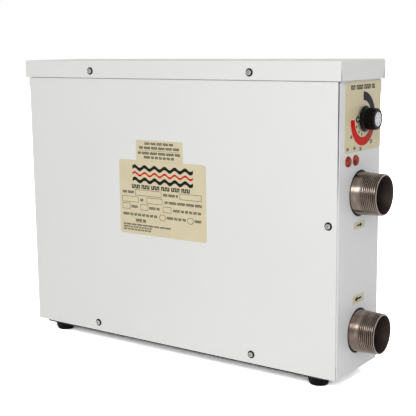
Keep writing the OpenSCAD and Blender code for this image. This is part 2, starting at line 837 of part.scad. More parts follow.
// Hairpin rods along X with their bends at the right and their cold ends through the head
module element(z) {
    cold_x = barrel_from - gasket_t - head_t - 10;
    half_chord = rod_circle_r * sin(30);
    middle_r = rod_circle_r * cos(30);
    for (k = [0:hairpins - 1]) translate([0, pipe_y, z]) rotate([360 * k / hairpins, 0, 0]) {
        for (s = [-1, 1]) x_rod(cold_x, rod_tip_x, s * half_chord, middle_r, rod_r);
        translate([rod_tip_x, 0, middle_r]) rotate([0, 0, -90])
            rotate_extrude(angle = 180) translate([half_chord, 0]) circle(rod_r);
    }
}

module lower_element() color("slategray") element(inlet_z);

module upper_element() color("slategray") element(outlet_z);

module rod_places(z) {
    for (k = [0:2 * hairpins - 1]) {
        a = 360 * k / (2 * hairpins);
        translate([0, pipe_y + rod_circle_r * cos(a), z + rod_circle_r * sin(a)]) children();
    }
}

module element_flanges() color("darkgoldenrod") {
    x1 = barrel_from - gasket_t;
    for (z = [inlet_z, outlet_z]) difference() {
        x_rod(x1 - head_t, x1, pipe_y, z, flange_r);
        rod_places(z) x_rod(x1 - head_t - 1, x1 + 1, 0, 0, rod_r + rod_gap);
        bolt_holes(z);
    }
}

module flange_gaskets() color("black") {
    for (z = [inlet_z, outlet_z]) difference() {
        x_rod(barrel_from - gasket_t, barrel_from, pipe_y, z, flange_r);
        x_rod(barrel_from - gasket_t - 1, barrel_from + 1, pipe_y, z, barrel_r - barrel_wall);
        bolt_holes(z);
    }
}

module flange_bolts() color("silver") {
    head_x = barrel_from - gasket_t - head_t;
    for (z = [inlet_z, outlet_z]) bolt_places(z) {
        translate([head_x - 4, 0, 0]) rotate([0, 90, 0]) cylinder(h = 4, r = 5.7, $fn = 6);
        x_rod(head_x - 0.5, barrel_from + flange_t + 6.5, 0, 0, bolt_r);
    }
}

module flange_nuts() color("silver") {
    for (z = [inlet_z, outlet_z]) bolt_places(z)
        translate([barrel_from + flange_t, 0, 0]) rotate([0, 90, 0]) hex_nut(10, 5, bolt_r + 0.05);
}

module terminal_insulators() color("white") {
    x1 = barrel_from - gasket_t - head_t;
    for (z = [inlet_z, outlet_z]) rod_places(z) x_ring(x1 - 6, x1, 0, 0, 6.5, rod_r + rod_gap);
}

module sensor_pockets() color("silver") {
    for (x = pocket_xs) difference() {
        union() {
            z_rod(pocket_low_z, pocket_head_z, x, pipe_y, pocket_r);
            z_rod(pocket_head_z, pocket_head_z + 4, x, pipe_y, pocket_boss_r - 0.5);
        }
        z_rod(pocket_low_z + 1.2, pocket_head_z + 5, x, pipe_y, pocket_bore_r);
    }
}

// ---------- Frames that carry the vessel and the shelf ----------

module support_frames() color("lightsteelblue") {
    for (x = frame_xs) difference() {
        union() {
            span([x, -frame_half, tray_floor_z], [x + frame_t, frame_half, frame_top_z]);
            span([x, -frame_half, tray_floor_z], [x + frame_foot, frame_half, tray_floor_z + frame_t]);
            span([x, -frame_half, frame_top_z - frame_t], [x + frame_foot, frame_half, frame_top_z]);
        }
        for (z = [inlet_z, outlet_z]) x_rod(x - 1, x + frame_t + 1, pipe_y, z, ring_hole_r + 0.05);
        for (y = frame_screw_ys) z_rod(0, top_z, x + frame_screw_in, y, frame_screw_r + 0.2);
        window_z = (inlet_z + outlet_z) / 2;
        for (s = [-1, 1]) x_rod(x - 1, x + frame_t + 1, s * 24, window_z, 12);
    }
}

module barrel_rings() color("dimgray") {
    lip = 2.5;
    in_r = barrel_r + 0.1;
    lip_r = ring_hole_r + 2.4;
    for (x = frame_xs, z = [inlet_z, outlet_z])
        translate([x, pipe_y, z]) rotate([0, 90, 0]) rotate_extrude() polygon([
            [in_r, -lip], [lip_r, -lip], [lip_r, 0], [ring_hole_r, 0], [ring_hole_r, frame_t],
            [lip_r, frame_t], [lip_r, frame_t + lip], [in_r, frame_t + lip]
        ]);
}

module frame_screws() color("silver") {
    for (x = frame_xs, y = frame_screw_ys) {
        translate([x + frame_screw_in, y, tray_floor_z + frame_t])
            pan_screw(frame_screw_r, 5, 4.2, 2);
        translate([x + frame_screw_in, y, shelf_top_z]) pan_screw(frame_screw_r, 7, 4.2, 2);
    }
}

module equipment_shelf() color("lightsteelblue") {
    difference() {
        union() {
            span([shelf_x[0], -frame_half, frame_top_z], [shelf_x[1], frame_half, shelf_top_z]);
            for (y = [-frame_half, frame_half - sheet])
                span([shelf_x[0], y, frame_top_z], [shelf_x[1], y + sheet, frame_top_z + shelf_lip]);
        }
        for (x = frame_xs, y = frame_screw_ys)
            z_rod(0, top_z, x + frame_screw_in, y, frame_screw_r + 0.2);
        for (y = [-38, 38]) z_rod(0, top_z, shelf_x[0] + 12, y, 7);
    }
}

module din_rail() color("silver") {
    brim = 17.5;
    crown = 13.5;
    steel = 1;
    translate([rail_x[0], 0, shelf_top_z]) rotate([90, 0, 90]) linear_extrude(rail_x[1] - rail_x[0])
        difference() {
            union() {
                translate([-crown, 0]) square([2 * crown, rail_h]);
                translate([-brim, rail_h - steel]) square([2 * brim, steel]);
            }
            translate([-crown + steel, steel]) square([2 * (crown - steel), rail_h]);
        }
}

// ---------- Electrical gear ----------

module terminal_block() color("whitesmoke") {
    pitch = (block_x[1] - block_x[0]) / block_poles;
    z1 = rail_top_z + block_h;
    difference() {
        union() {
            span([block_x[0], -block_half, rail_top_z], [block_x[1], block_half, z1 - 10]);
            span([block_x[0], -block_half * 0.45, rail_top_z], [block_x[1], block_half * 0.45, z1]);
        }
        for (k = [0:block_poles - 1]) {
            x = block_x[0] + (k + 0.5) * pitch;
            for (s = [-1, 1]) {
                z_rod(z1 - 17, z1, x, s * 15, 3.2);
                y_rod(s > 0 ? 11 : -21, s > 0 ? 21 : -11, x, rail_top_z + 10, 2.8);
            }
        }
    }
}

module terminal_screws() color("silver") {
    pitch = (block_x[1] - block_x[0]) / block_poles;
    for (k = [0:block_poles - 1], s = [-1, 1])
        translate([block_x[0] + (k + 0.5) * pitch, s * 15, rail_top_z + block_h - 17]) difference() {
            cylinder(h = 5, r = 3);
            translate([-3.5, -0.5, 3.8]) cube([7, 1, 2]);
        }
}

module contactor_base() color("darkslategray") {
    mid = (contactor_x[0] + contactor_x[1]) / 2;
    z1 = rail_top_z + contactor_h;
    well_z = z1 - carrier_depth - carrier_travel - carrier_gap;
    difference() {
        union() {
            span([contactor_x[0], -contactor_half, rail_top_z], [contactor_x[1], contactor_half, z1 - 16]);
            span([contactor_x[0] + 1, -contactor_half * 0.66, rail_top_z],
                [contactor_x[1] - 1, contactor_half * 0.66, z1]);
        }
        span([mid - carrier_half[0] - carrier_gap, -carrier_half[1] - carrier_gap, well_z],
            [mid + carrier_half[0] + carrier_gap, carrier_half[1] + carrier_gap, z1 + 1]);
        for (k = [-1, 0, 1], s = [-1, 1]) {
            z_rod(z1 - 26, z1, mid + 13 * k, s * 30, 3.2);
            y_rod(s > 0 ? 26 : -contactor_half - 1, s > 0 ? contactor_half + 1 : -26,
                mid + 13 * k, rail_top_z + 22, 3);
        }
    }
}

module contactor_carrier() color("darkorange") {
    mid = (contactor_x[0] + contactor_x[1]) / 2;
    z1 = rail_top_z + contactor_h;
    difference() {
        span([mid - carrier_half[0], -carrier_half[1], z1 - carrier_depth],
            [mid + carrier_half[0], carrier_half[1], z1 + carrier_proud]);
        for (y = [-6, 0, 6]) span([mid - carrier_half[0] - 1, y - 0.6, z1 + carrier_proud - 1.2],
            [mid + carrier_half[0] + 1, y + 0.6, z1 + carrier_proud + 1]);
    }
}

module limit_bracket() color("silver") {
    x0 = limit_x - limit_half - 2;
    x1 = limit_x + limit_half + 2;
    difference() {
        union() {
            span([x0 - 10, -20, shelf_top_z], [x0 + 1.5, 20, shelf_top_z + 1.5]);
            span([x0, -20, shelf_top_z], [x0 + 1.5, 20, limit_plate_z]);
            span([x0, -20, limit_z[1]], [x1, 20, limit_plate_z]);
        }
        z_rod(limit_z[1] - 1, limit_plate_z + 1, limit_x, 0, 5.2);
    }
}

module limit_body() color("whitesmoke") {
    bush_top = limit_plate_z + 3;
    difference() {
        union() {
            span([limit_x - limit_half, -limit_half, limit_z[0]],
                [limit_x + limit_half, limit_half, limit_z[1]]);
            z_rod(limit_z[1], bush_top, limit_x, 0, 5);
            for (s = [-1, 1]) span([limit_x - 3, 10 * s - 0.4, limit_z[0] - 7],
                [limit_x + 3, 10 * s + 0.4, limit_z[0]]);
        }
        z_rod(bush_top - button_well - button_travel - 3, bush_top + 1, limit_x, 0, button_r + 0.1);
    }
}

module reset_button() color("red") {
    bush_top = limit_plate_z + 3;
    edge_z = bush_top + button_proud - 1;
    z_rod(bush_top - button_well, edge_z, limit_x, 0, button_r);
    translate([limit_x, 0, edge_z]) cylinder(h = 1, r1 = button_r, r2 = button_r - 0.8);
}

// A bulb in its pocket with the tube that leads to its switch
module thermostat_bulb() color("peru") {
    x = pocket_xs[0];
    z_rod(pocket_low_z + 3, pocket_head_z - 12, x, pipe_y, pocket_bore_r - 0.2);
    wire([[x, pipe_y, pocket_head_z - 13], [x, pipe_y, pocket_head_z + 8], [x, pipe_y, pocket_head_z + 22],
        [x + 8, 0, pocket_head_z + 30], [x + 16, -14, pocket_head_z + 34], [x + 14, -26, knob_z - 4],
        [right_x - 42, -20, knob_z - 8], [right_x - 34, knob_y - 10, knob_z - 8],
        [right_x - 29, knob_y - 10, knob_z - 8]], thin_r);
}

module limit_bulb() color("peru") {
    x = pocket_xs[1];
    z_rod(pocket_low_z + 3, pocket_head_z - 12, x, pipe_y, pocket_bore_r - 0.2);
    wire([[x, pipe_y, pocket_head_z - 13], [x, pipe_y, pocket_head_z + 8], [x, pipe_y, pocket_head_z + 24],
        [x - 8, 4, limit_z[0] + 8], [limit_x + 22, 6, limit_z[0] + 14],
        [limit_x + limit_half + 0.2, 6, limit_z[0] + 14]], thin_r);
}

// ---------- Flow switch ----------

module flow_switch() color("black") {
    cavity_r = 9;
    hex_z = flow_boss_z;
    body_z = hex_z + 6;
    top = body_z + 34;
    difference() {
        union() {
            z_rod(hex_z - 11, hex_z + 1, flow_x, pipe_y, flow_bore_r - 0.1);
            translate([flow_x, pipe_y, hex_z]) cylinder(h = 6, r = 18, $fn = 6);
            z_rod(body_z - 0.5, top, flow_x, pipe_y, 15);
            z_rod(top - 0.5, top + 3, flow_x, pipe_y, 13);
        }
        z_rod(hex_z - 12, hex_z + 4, flow_x, pipe_y, cavity_r);
    }
    y_rod(pipe_y - cavity_r - 1, pipe_y + cavity_r + 1, flow_x, flow_pivot_z, flow_pin_r);
}

module flow_paddle() color("orange") {
    blade_half = 10.5;
    blade_t = 1.5;
    arm_t = 3;
    arm_half = 3.5;
    blade_z = [inlet_z - 10, inlet_z + 14];
    difference() {
        union() {
            y_rod(pipe_y - arm_half, pipe_y + arm_half, flow_x, flow_pivot_z, 3.4);
            span([flow_x - arm_t / 2, pipe_y - arm_half, blade_z[1] - 6],
                [flow_x + arm_t / 2, pipe_y + arm_half, flow_pivot_z]);
            span([flow_x - blade_t / 2, pipe_y - blade_half, blade_z[0]],
                [flow_x + blade_t / 2, pipe_y + blade_half, blade_z[1]]);
            span([flow_x - 2.5, pipe_y - 2.5, flow_pivot_z],
                [flow_x + 2.5, pipe_y + 2.5, flow_pivot_z + 7]);
        }
        y_rod(pipe_y - blade_half, pipe_y + blade_half, flow_x, flow_pivot_z, flow_pin_r + 0.06);
    }
}

// ---------- Earth stud and cable gland ----------

module earth_stud() color("goldenrod") {
    z_rod(tray_floor_z - 0.5, tray_floor_z + 22, earth_x, earth_y, frame_screw_r);
    for (z = [tray_floor_z, tray_floor_z + 9])
        translate([earth_x, earth_y, z]) hex_nut(9, 4, frame_screw_r - 0.5);
}

// Moves a shape drawn along +Z to the gland's axis, with z = 0 on the outside of the left face
module on_gland_axis() {
    translate([left_x, gland_y, gland_z]) rotate([0, -90, 0]) children();
}

module gland_body() color("black") {
    on_gland_axis() difference() {
        union() {
            translate([0, 0, -sheet - 9]) cylinder(h = sheet + 9.5, r = gland_thread_r - 0.1);
            cylinder(h = 7, r = 17.5, $fn = 6);
            translate([0, 0, 6.5]) cylinder(h = 8.5, r = gland_thread_r);
        }
        translate([0, 0, -20]) cylinder(h = 50, r = gland_cable_r + 1.5);
    }
}

module gland_nut() color("black") {
    from = 7.3;
    difference() {
        on_gland_axis() {
            translate([0, 0, from]) cylinder(h = 11, r = 17, $fn = 6);
            translate([0, 0, from + 10.5]) cylinder(h = gland_out - from - 10.5, r1 = 14.5, r2 = 10.5);
        }
        on_gland_axis() {
            translate([0, 0, from - 1]) cylinder(h = 9.5, r = gland_thread_r + 0.1);
            translate([0, 0, from]) cylinder(h = 40, r = gland_cable_r + 0.6);
        }
    }
}

module gland_locknut() color("black") {
    on_gland_axis() translate([0, 0, -sheet - 5]) hex_nut(31, 5, gland_thread_r - 0.05);
}

module gland_seal() color("dimgray") {
    on_gland_axis() difference() {
        translate([0, 0, 1]) cylinder(h = 14, r = gland_cable_r + 1.45);
        cylinder(h = 16, r = gland_cable_r);
    }
}

// ---------- Wiring ----------

module power_wires() color("saddlebrown") {
    for (route = supply_routes) wire(route, wire_r);
    for (route = bridge_routes) wire(route, wire_r);
}

module control_wires() color("steelblue") {
    for (route = control_routes) wire(route, thin_r);
}

// ---------- Pieces ----------

base_tray();
end_panel();
jacket();
lid();
lid_screws();
jacket_screws();
rubber_feet();
foot_screws();
foot_nuts();
dial_plate();
rating_plate();
data_plate();
port_labels();
temperature_knob();
knob_cap();
knob_grub_screw();
thermostat_shaft();
thermostat_body();
thermostat_screws();
thermostat_bulb();
lamp_lenses();
lamp_bodies();
lamp_clips();
pipe_seals();
inlet_nipple();
outlet_nipple();
lower_barrel();
upper_barrel();
crossover_pipe();
lower_element();
upper_element();
element_flanges();
flange_gaskets();
flange_bolts();
flange_nuts();
terminal_insulators();
sensor_pockets();
support_frames();
barrel_rings();
frame_screws();
equipment_shelf();
din_rail();
terminal_block();
terminal_screws();
contactor_base();
contactor_carrier();
limit_bracket();
limit_body();
limit_bulb();
reset_button();
flow_switch();
flow_paddle();
earth_stud();
gland_body();
gland_nut();
gland_locknut();
gland_seal();
power_wires();
control_wires();
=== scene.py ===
"""Looks of an electric pool and spa heater: painted casing, dial, lamps and threaded pipes.

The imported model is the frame: front is -Y, up is +Z, the floor is z = 0 and lengths are metres.
The node helpers and finishes come first, then the mesh helpers, pieces, stage and camera.
"""

import math

import bmesh
import bpy
from mathutils import Matrix, Vector

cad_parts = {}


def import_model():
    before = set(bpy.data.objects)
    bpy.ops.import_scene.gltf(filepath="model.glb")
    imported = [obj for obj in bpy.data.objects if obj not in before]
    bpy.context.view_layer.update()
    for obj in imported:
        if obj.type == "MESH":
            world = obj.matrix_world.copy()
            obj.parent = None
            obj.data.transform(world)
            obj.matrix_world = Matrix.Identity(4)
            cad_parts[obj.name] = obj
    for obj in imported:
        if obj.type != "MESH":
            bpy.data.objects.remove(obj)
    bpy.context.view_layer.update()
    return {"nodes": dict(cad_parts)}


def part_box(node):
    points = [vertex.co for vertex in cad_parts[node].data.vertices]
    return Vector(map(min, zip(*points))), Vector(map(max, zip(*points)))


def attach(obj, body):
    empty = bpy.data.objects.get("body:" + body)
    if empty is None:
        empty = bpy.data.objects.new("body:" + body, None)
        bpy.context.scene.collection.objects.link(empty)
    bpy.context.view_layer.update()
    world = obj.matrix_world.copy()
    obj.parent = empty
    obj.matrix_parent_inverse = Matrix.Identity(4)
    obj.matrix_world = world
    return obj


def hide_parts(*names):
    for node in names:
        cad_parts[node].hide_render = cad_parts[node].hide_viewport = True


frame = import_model()

MM = 0.001
X, Y, Z = Vector((1, 0, 0)), Vector((0, 1, 0)), Vector((0, 0, 1))
CASING = "casing"
KNOB_BODY = "temperature_knob"

# the pipes' thread, which their finish follows as well as their mesh
THREAD_PITCH, THREAD_DEPTH, THREAD_TAPER = 2.309 * MM, 1.35 * MM, 1 / 32

# -------- places read from the frame


def loose_parts(node):
    """The boxes (low corner, high corner) of a node's separate solids, from left to right."""
    mesh = frame["nodes"][node].data
    owner = {}

    def root(key):
        while owner[key] != key:
            owner[key] = owner[owner[key]]
            key = owner[key]
        return key

    keys = [tuple(round(c, 6) for c in v.co) for v in mesh.vertices]
    for key in keys:
        owner.setdefault(key, key)
    for polygon in mesh.polygons:
        first = root(keys[polygon.vertices[0]])
        for index in polygon.vertices[1:]:
            owner[root(keys[index])] = first
    groups = {}
    for key in owner:
        groups.setdefault(root(key), []).append(key)
    boxes = [
        (Vector(map(min, zip(*group))), Vector(map(max, zip(*group)))) for group in groups.values()
    ]
    return sorted(boxes, key=lambda pair: tuple(pair[0]))


PANEL_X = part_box("end_panel")[1].x
DIAL_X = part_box("dial_plate")[1].x

# -------- node helpers


def start_material(name, colour, roughness=0.5, metallic=0.0, **sockets):
    """A material with one Principled shader. Returns the material, its tree and the shader."""
    material = bpy.data.materials.new(name + "_looks")
    material.use_nodes = True
    tree = material.node_tree
    shader = tree.nodes["Principled BSDF"]
    shader.inputs["Base Color"].default_value = (*colour, 1)
    shader.inputs["Roughness"].default_value = roughness
    shader.inputs["Metallic"].default_value = metallic
    for label, value in sockets.items():
        shader.inputs[label.replace("_", " ")].default_value = value
    return material, tree, shader


def add(tree, kind, links=(), values=(), **settings):
    """A new shader node with its incoming links, its socket values and its settings."""
    node = tree.nodes.new("ShaderNode" + kind)
    for name, value in settings.items():
        setattr(node, name, value)
    for socket, value in dict(values).items():
        node.inputs[socket].default_value = value
    for socket, source in dict(links).items():
        tree.links.new(source, node.inputs[socket])
    return node


def place(tree, stretch=(1, 1, 1)):
    """Object coordinates in metres, stretched along the axes."""
    where = add(tree, "TexCoord")
    mapped = add(tree, "Mapping", {"Vector": where.outputs["Object"]}, {"Scale": stretch})
    return mapped.outputs["Vector"]


def coordinate(tree, axis):
    """One of the object coordinates, in metres."""
    where = add(tree, "TexCoord").outputs["Object"]
    return add(tree, "SeparateXYZ", {"Vector": where}).outputs[axis]


def noise(tree, scale, detail=3.0, stretch=(1, 1, 1)):
    """A grey noise with the given number of features to the metre."""
    where, values = place(tree, stretch), {"Scale": scale, "Detail": detail}
    return add(tree, "TexNoise", {"Vector": where}, values).outputs["Fac"]


def ramp(tree, source, *stops):
    """A colour ramp with stops of (place, colour)."""
    node = add(tree, "ValToRGB", {"Fac": source})
    band = node.color_ramp
    while len(band.elements) < len(stops):
        band.elements.new(0.5)
    for element, (position, colour) in zip(band.elements, stops):
        element.position = position
        element.color = (*colour, 1)
    return node.outputs["Color"]


def remap(tree, source, low, high, from_low=0.3, from_high=0.7):
    """Stretches a noise's usual span to the span from low to high."""
    span = {"From Min": from_low, "From Max": from_high, "To Min": low, "To Max": high}
    return add(tree, "MapRange", {"Value": source}, span).outputs["Result"]


def arith(tree, operation, a, b=None):
    """A maths node; a and b are sockets or numbers."""
    node = add(tree, "Math", operation=operation)
    for socket, value in zip(node.inputs, (a, b)):
        if value is None:
            continue
        if isinstance(value, (int, float)):
            socket.default_value = value
        else:
            tree.links.new(value, socket)
    return node.outputs["Value"]


def blend(tree, share, first, second):
    """Mixes two colours: share 0 gives the first and 1 the second."""
    mix = add(tree, "Mix", {"Factor": share}, data_type="RGBA")
    tree.links.new(first, mix.inputs["A"])
    tree.links.new(second, mix.inputs["B"])
    return mix.outputs["Result"]


def shade(colour, factor):
    """A darker or lighter shade of a colour."""
    return tuple(min(1.0, c * factor) for c in colour)


def mottle(tree, shader, colour, spread, scale, detail=4.0, stretch=(1, 1, 1)):
    """Lets the base colour drift between a darker and a lighter shade of itself."""
    tones = ramp(
        tree,
        noise(tree, scale, detail, stretch),
        (0.3, shade(colour, 1 - spread)),
        (0.7, shade(colour, 1 + spread)),
    )
    tree.links.new(tones, shader.inputs["Base Color"])


def uneven_gloss(tree, shader, low, high, scale, stretch=(1, 1, 1)):
    """Lets the roughness drift between two values."""
    span = remap(tree, noise(tree, scale, 3.0, stretch), low, high)
    tree.links.new(span, shader.inputs["Roughness"])


def relief(tree, shader, height, depth):
    """Bumps the surface by a height map whose full span is depth metres."""
    bump = add(tree, "Bump", {"Height": height}, {"Strength": 1.0, "Distance": depth})
    tree.links.new(bump.outputs["Normal"], shader.inputs["Normal"])


# -------- finishes


def powder_coat(name, colour, roughness):
    """Baked enamel on sheet steel: orange peel, a faint drift in tone and in gloss."""
    material, tree, shader = start_material(name, colour, roughness, Specular_IOR_Level=0.35)
    mottle(tree, shader, colour, 0.012, 9)
    uneven_gloss(tree, shader, roughness - 0.05, roughness + 0.05, 26)
    relief(tree, shader, noise(tree, 620, 2.0), 0.03 * MM)
    return material


def brushed_metal(name, colour, roughness, stretch):
    """Metal with fine lines along one axis and a soft drift in tone."""
    material, tree, shader = start_material(name, colour, roughness, 1.0)
    mottle(tree, shader, colour, 0.16, 55, 5.0, tuple(0.4 + 0.6 * s for s in stretch))
    uneven_gloss(tree, shader, roughness - 0.07, roughness + 0.09, 160, stretch)
    relief(tree, shader, noise(tree, 900, 2.0, stretch), 0.012 * MM)
    return material


def cast_metal(name, colour, roughness):
    """Bare metal with an even fine grain, for fasteners and fittings."""
    material, tree, shader = start_material(name, colour, roughness, 1.0)
    mottle(tree, shader, colour, 0.1, 130)
    uneven_gloss(tree, shader, roughness - 0.06, roughness + 0.1, 210)
    relief(tree, shader, noise(tree, 480, 3.0), 0.012 * MM)
    return material


def moulded(name, colour, roughness, grain=900, depth=0.02, gloss=0.25):
    """Moulded plastic or rubber with a fine grain."""
    material, tree, shader = start_material(name, colour, roughness, Specular_IOR_Level=gloss)
    mottle(tree, shader, colour, 0.08, 70)
    uneven_gloss(tree, shader, max(0.04, roughness - 0.06), roughness + 0.08, 130)
    relief(tree, shader, noise(tree, grain, 3.0), depth * MM)
    return material


def printed_plate(name, colour):
    """A printed cream plate with a faint sheen and light handling marks."""
    roughness = 0.42
    material, tree, shader = start_material(name, colour, roughness, Specular_IOR_Level=0.25)
    mottle(tree, shader, colour, 0.035, 60, 6.0)
    uneven_gloss(tree, shader, roughness - 0.08, roughness + 0.08, 90)
    relief(tree, shader, noise(tree, 420, 4.0), 0.008 * MM)
    return material


def wire_skin(name, colour):
    """The smooth PVC skin of a wire."""
    material, tree, shader = start_material(name, colour, 0.35, IOR=1.5)
    mottle(tree, shader, colour, 0.06, 40)
    relief(tree, shader, noise(tree, 240, 2.0), 0.02 * MM)
    return material


def glazed_ceramic(name, colour):
    """Smooth glazed ceramic, for the terminal insulators."""
    material, tree, shader = start_material(name, colour, 0.25, IOR=1.55)
    mottle(tree, shader, colour, 0.04, 220)
    relief(tree, shader, noise(tree, 320, 2.0), 0.02 * MM)
    return material


def off_axis(tree, centre):
    """The distance of a point from the line along X through a centre."""
    where = add(tree, "TexCoord").outputs["Object"]
    offset = add(tree, "VectorMath", {0: where}, {1: tuple(centre)}, operation="SUBTRACT")
    offset = offset.outputs["Vector"]
    flat = add(tree, "VectorMath", {0: offset}, {1: (0, 1, 1)}, operation="MULTIPLY")
    length = add(tree, "VectorMath", {0: flat.outputs["Vector"]}, operation="LENGTH")
    return length.outputs["Value"]


# how far below a pipe's axis the painted shade on its upper part starts to go, and where it is gone
UPPER_SHADE_THINS, UPPER_SHADE_ENDS = 6 * MM, 22 * MM
# how deep under the thread's crests the painted shade starts and is full, and the share that it
# then covers
ROOT_SHADE_STARTS, ROOT_SHADE_FULL, ROOT_SHADE_SHARE = 0.42 * MM, 0.8 * MM, 0.9
# how far behind the mouth the cut face's finish starts and is full
CUT_STARTS, CUT_FULL = 0.7 * MM, 0.4 * MM
# how far outside the bore's wall the bore's finish starts to go, and where it is gone
BORE_EDGE, BORE_END = 0.4 * MM, 0.6 * MM


def pipe_steel(name, centre, bore_r, out_r, thread_x, mouth_x):
    """Turned stainless pipe: painted shade on its upper part and in its thread's roots, a lower
    part painted lighter, and a dull bore darkened by painted shade.
    """
    material, tree, shader = start_material(name, (0.2, 0.17, 0.145), 0.2, 1.0)
    # painted shade: the pipe's upper part and middle, darker and browner than its lower part
    shaded_upper_tone = ramp(
        tree,
        noise(tree, 60, 6.0, (2, 1, 1)),
        (0.3, (0.105, 0.075, 0.060)),
        (0.5, (0.150, 0.116, 0.096)),
        (0.7, (0.235, 0.200, 0.175)),
    )
    # the pipe's lower part, painted lighter than the shaded upper part
    lit_lower_tone = ramp(
        tree,
        noise(tree, 75, 5.0, (2, 1, 1)),
        (0.3, (0.150, 0.124, 0.098)),
        (0.7, (0.235, 0.202, 0.165)),
    )
    # 1 on the lighter painted lower part, 0 on the painted shade above it
    lit_lower_share = remap(
        tree, coordinate(tree, "Z"), 1, 0, centre.z - UPPER_SHADE_ENDS, centre.z - UPPER_SHADE_THINS
    )
    cut_face = ramp(
        tree, noise(tree, 120, 4.0), (0.3, (0.20, 0.17, 0.15)), (0.7, (0.34, 0.30, 0.265))
    )
    along = coordinate(tree, "X")
    cut = remap(tree, along, 0, 1, mouth_x - CUT_STARTS, mouth_x - CUT_FULL)
    # painted shade in the roots of the thread, which tapers towards the mouth
    past = arith(tree, "SUBTRACT", along, thread_x)
    crest = arith(tree, "SUBTRACT", out_r, arith(tree, "MULTIPLY", past, THREAD_TAPER))
    depth = arith(tree, "SUBTRACT", crest, off_axis(tree, centre))
    root = remap(tree, depth, 0, ROOT_SHADE_SHARE, ROOT_SHADE_STARTS, ROOT_SHADE_FULL)
    root_shade = ramp(
        tree, noise(tree, 200, 3.0), (0.3, (0.018, 0.013, 0.010)), (0.7, (0.04, 0.03, 0.024))
    )
    turned = blend(tree, root, blend(tree, lit_lower_share, shaded_upper_tone, lit_lower_tone), root_shade)
    outside = blend(tree, cut, turned, cut_face)
    # inside the bore the colour is darker: painted shade in the hollow, on a duller finish
    inside = ramp(
        tree, noise(tree, 45, 5.0), (0.3, (0.052, 0.038, 0.034)), (0.7, (0.092, 0.070, 0.061))
    )
    # 0 inside the bore, 1 on everything outside it
    side = remap(tree, off_axis(tree, centre), 0, 1, bore_r + BORE_EDGE, bore_r + BORE_END)
    tree.links.new(blend(tree, side, inside, outside), shader.inputs["Base Color"])
    gloss = add(tree, "MapRange", {"Value": side}, {"To Min": 0.55, "To Max": 0.17})
    worn = remap(tree, noise(tree, 150, 3.0), 0.0, 0.12)
    tree.links.new(arith(tree, "ADD", gloss.outputs["Result"], worn), shader.inputs["Roughness"])
    relief(tree, shader, noise(tree, 900, 3.0), 0.008 * MM)
    return material


def lamp_glass(name):
    """A red lens over an unlit lamp, mottled from dark red to orange."""
    material, tree, shader = start_material(name, (0.3, 0.03, 0.01), 0.14, Specular_IOR_Level=0.2)
    tones = ramp(
        tree,
        noise(tree, 330, 3.0),
        (0.36, (0.09, 0.005, 0.003)),
        (0.5, (0.27, 0.022, 0.006)),
        (0.64, (0.42, 0.075, 0.018)),
    )
    tree.links.new(tones, shader.inputs["Base Color"])
    shader.inputs["Subsurface Weight"].default_value = 0.12
    shader.inputs["Subsurface Radius"].default_value = (0.004, 0.0008, 0.0004)
    relief(tree, shader, noise(tree, 260, 2.0), 0.05 * MM)
    return material


def print_ink(name, colour):
    """Screen-printed ink, slightly uneven."""
    material, tree, shader = start_material(name, colour, 0.55, Specular_IOR_Level=0.08)
    mottle(tree, shader, colour, 0.2, 700)
    relief(tree, shader, noise(tree, 1500, 2.0), 0.004 * MM)
    return material


def dial_band_ink(name, centre):
    """The dial's heat band: black from the top, turning red through the right side."""
    material, tree, shader = start_material(name, (0.5, 0.01, 0.01), 0.5, Specular_IOR_Level=0.1)
    across = arith(tree, "SUBTRACT", coordinate(tree, "Y"), centre.y)
    up = arith(tree, "SUBTRACT", coordinate(tree, "Z"), centre.z)
    # 0 at the top, growing clockwise to 1 after a whole turn
    turn = arith(tree, "ARCTAN2", across, up)
    share = arith(tree, "FRACT", arith(tree, "DIVIDE", turn, 2 * math.pi))
    tones = ramp(
        tree,
        share,
        (0.0, (0.016, 0.012, 0.018)),
        (0.25, (0.022, 0.012, 0.016)),
        (0.36, (0.40, 0.05, 0.035)),
        (0.47, (0.58, 0.012, 0.006)),
        (0.76, (0.66, 0.004, 0.002)),
    )
    tree.links.new(tones, shader.inputs["Base Color"])
    relief(tree, shader, noise(tree, 900, 2.0), 0.006 * MM)
    return material


def spun_metal(name, colour, centre, roughness, face_x):
    """Turned aluminium with fine rings about the knob's axis, and dark paint in its recesses."""
    material, tree, shader = start_material(name, colour, roughness, 1.0)
    radius = off_axis(tree, centre)
    ring_pitch = 0.35 * MM
    rings = arith(tree, "SINE", arith(tree, "MULTIPLY", radius, 2 * math.pi / ring_pitch))
    relief(tree, shader, rings, 0.006 * MM)
    metal = ramp(
        tree, noise(tree, 420, 4.0), (0.3, shade(colour, 0.86)), (0.7, shade(colour, 1.14))
    )
    paint_top, bare_from = face_x - 0.24 * MM, face_x - 0.14 * MM
    bare = remap(tree, coordinate(tree, "X"), 0, 1, paint_top, bare_from)
    paint = ramp(tree, noise(tree, 300), (0.3, (0.02, 0.02, 0.022)), (0.7, (0.04, 0.04, 0.043)))
    tree.links.new(blend(tree, bare, paint, metal), shader.inputs["Base Color"])
    return material


KNOB_LOW, KNOB_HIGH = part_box("temperature_knob")
KNOB_CENTRE = Vector((DIAL_X, (KNOB_LOW.y + KNOB_HIGH.y) / 2, (KNOB_LOW.z + KNOB_HIGH.z) / 2))

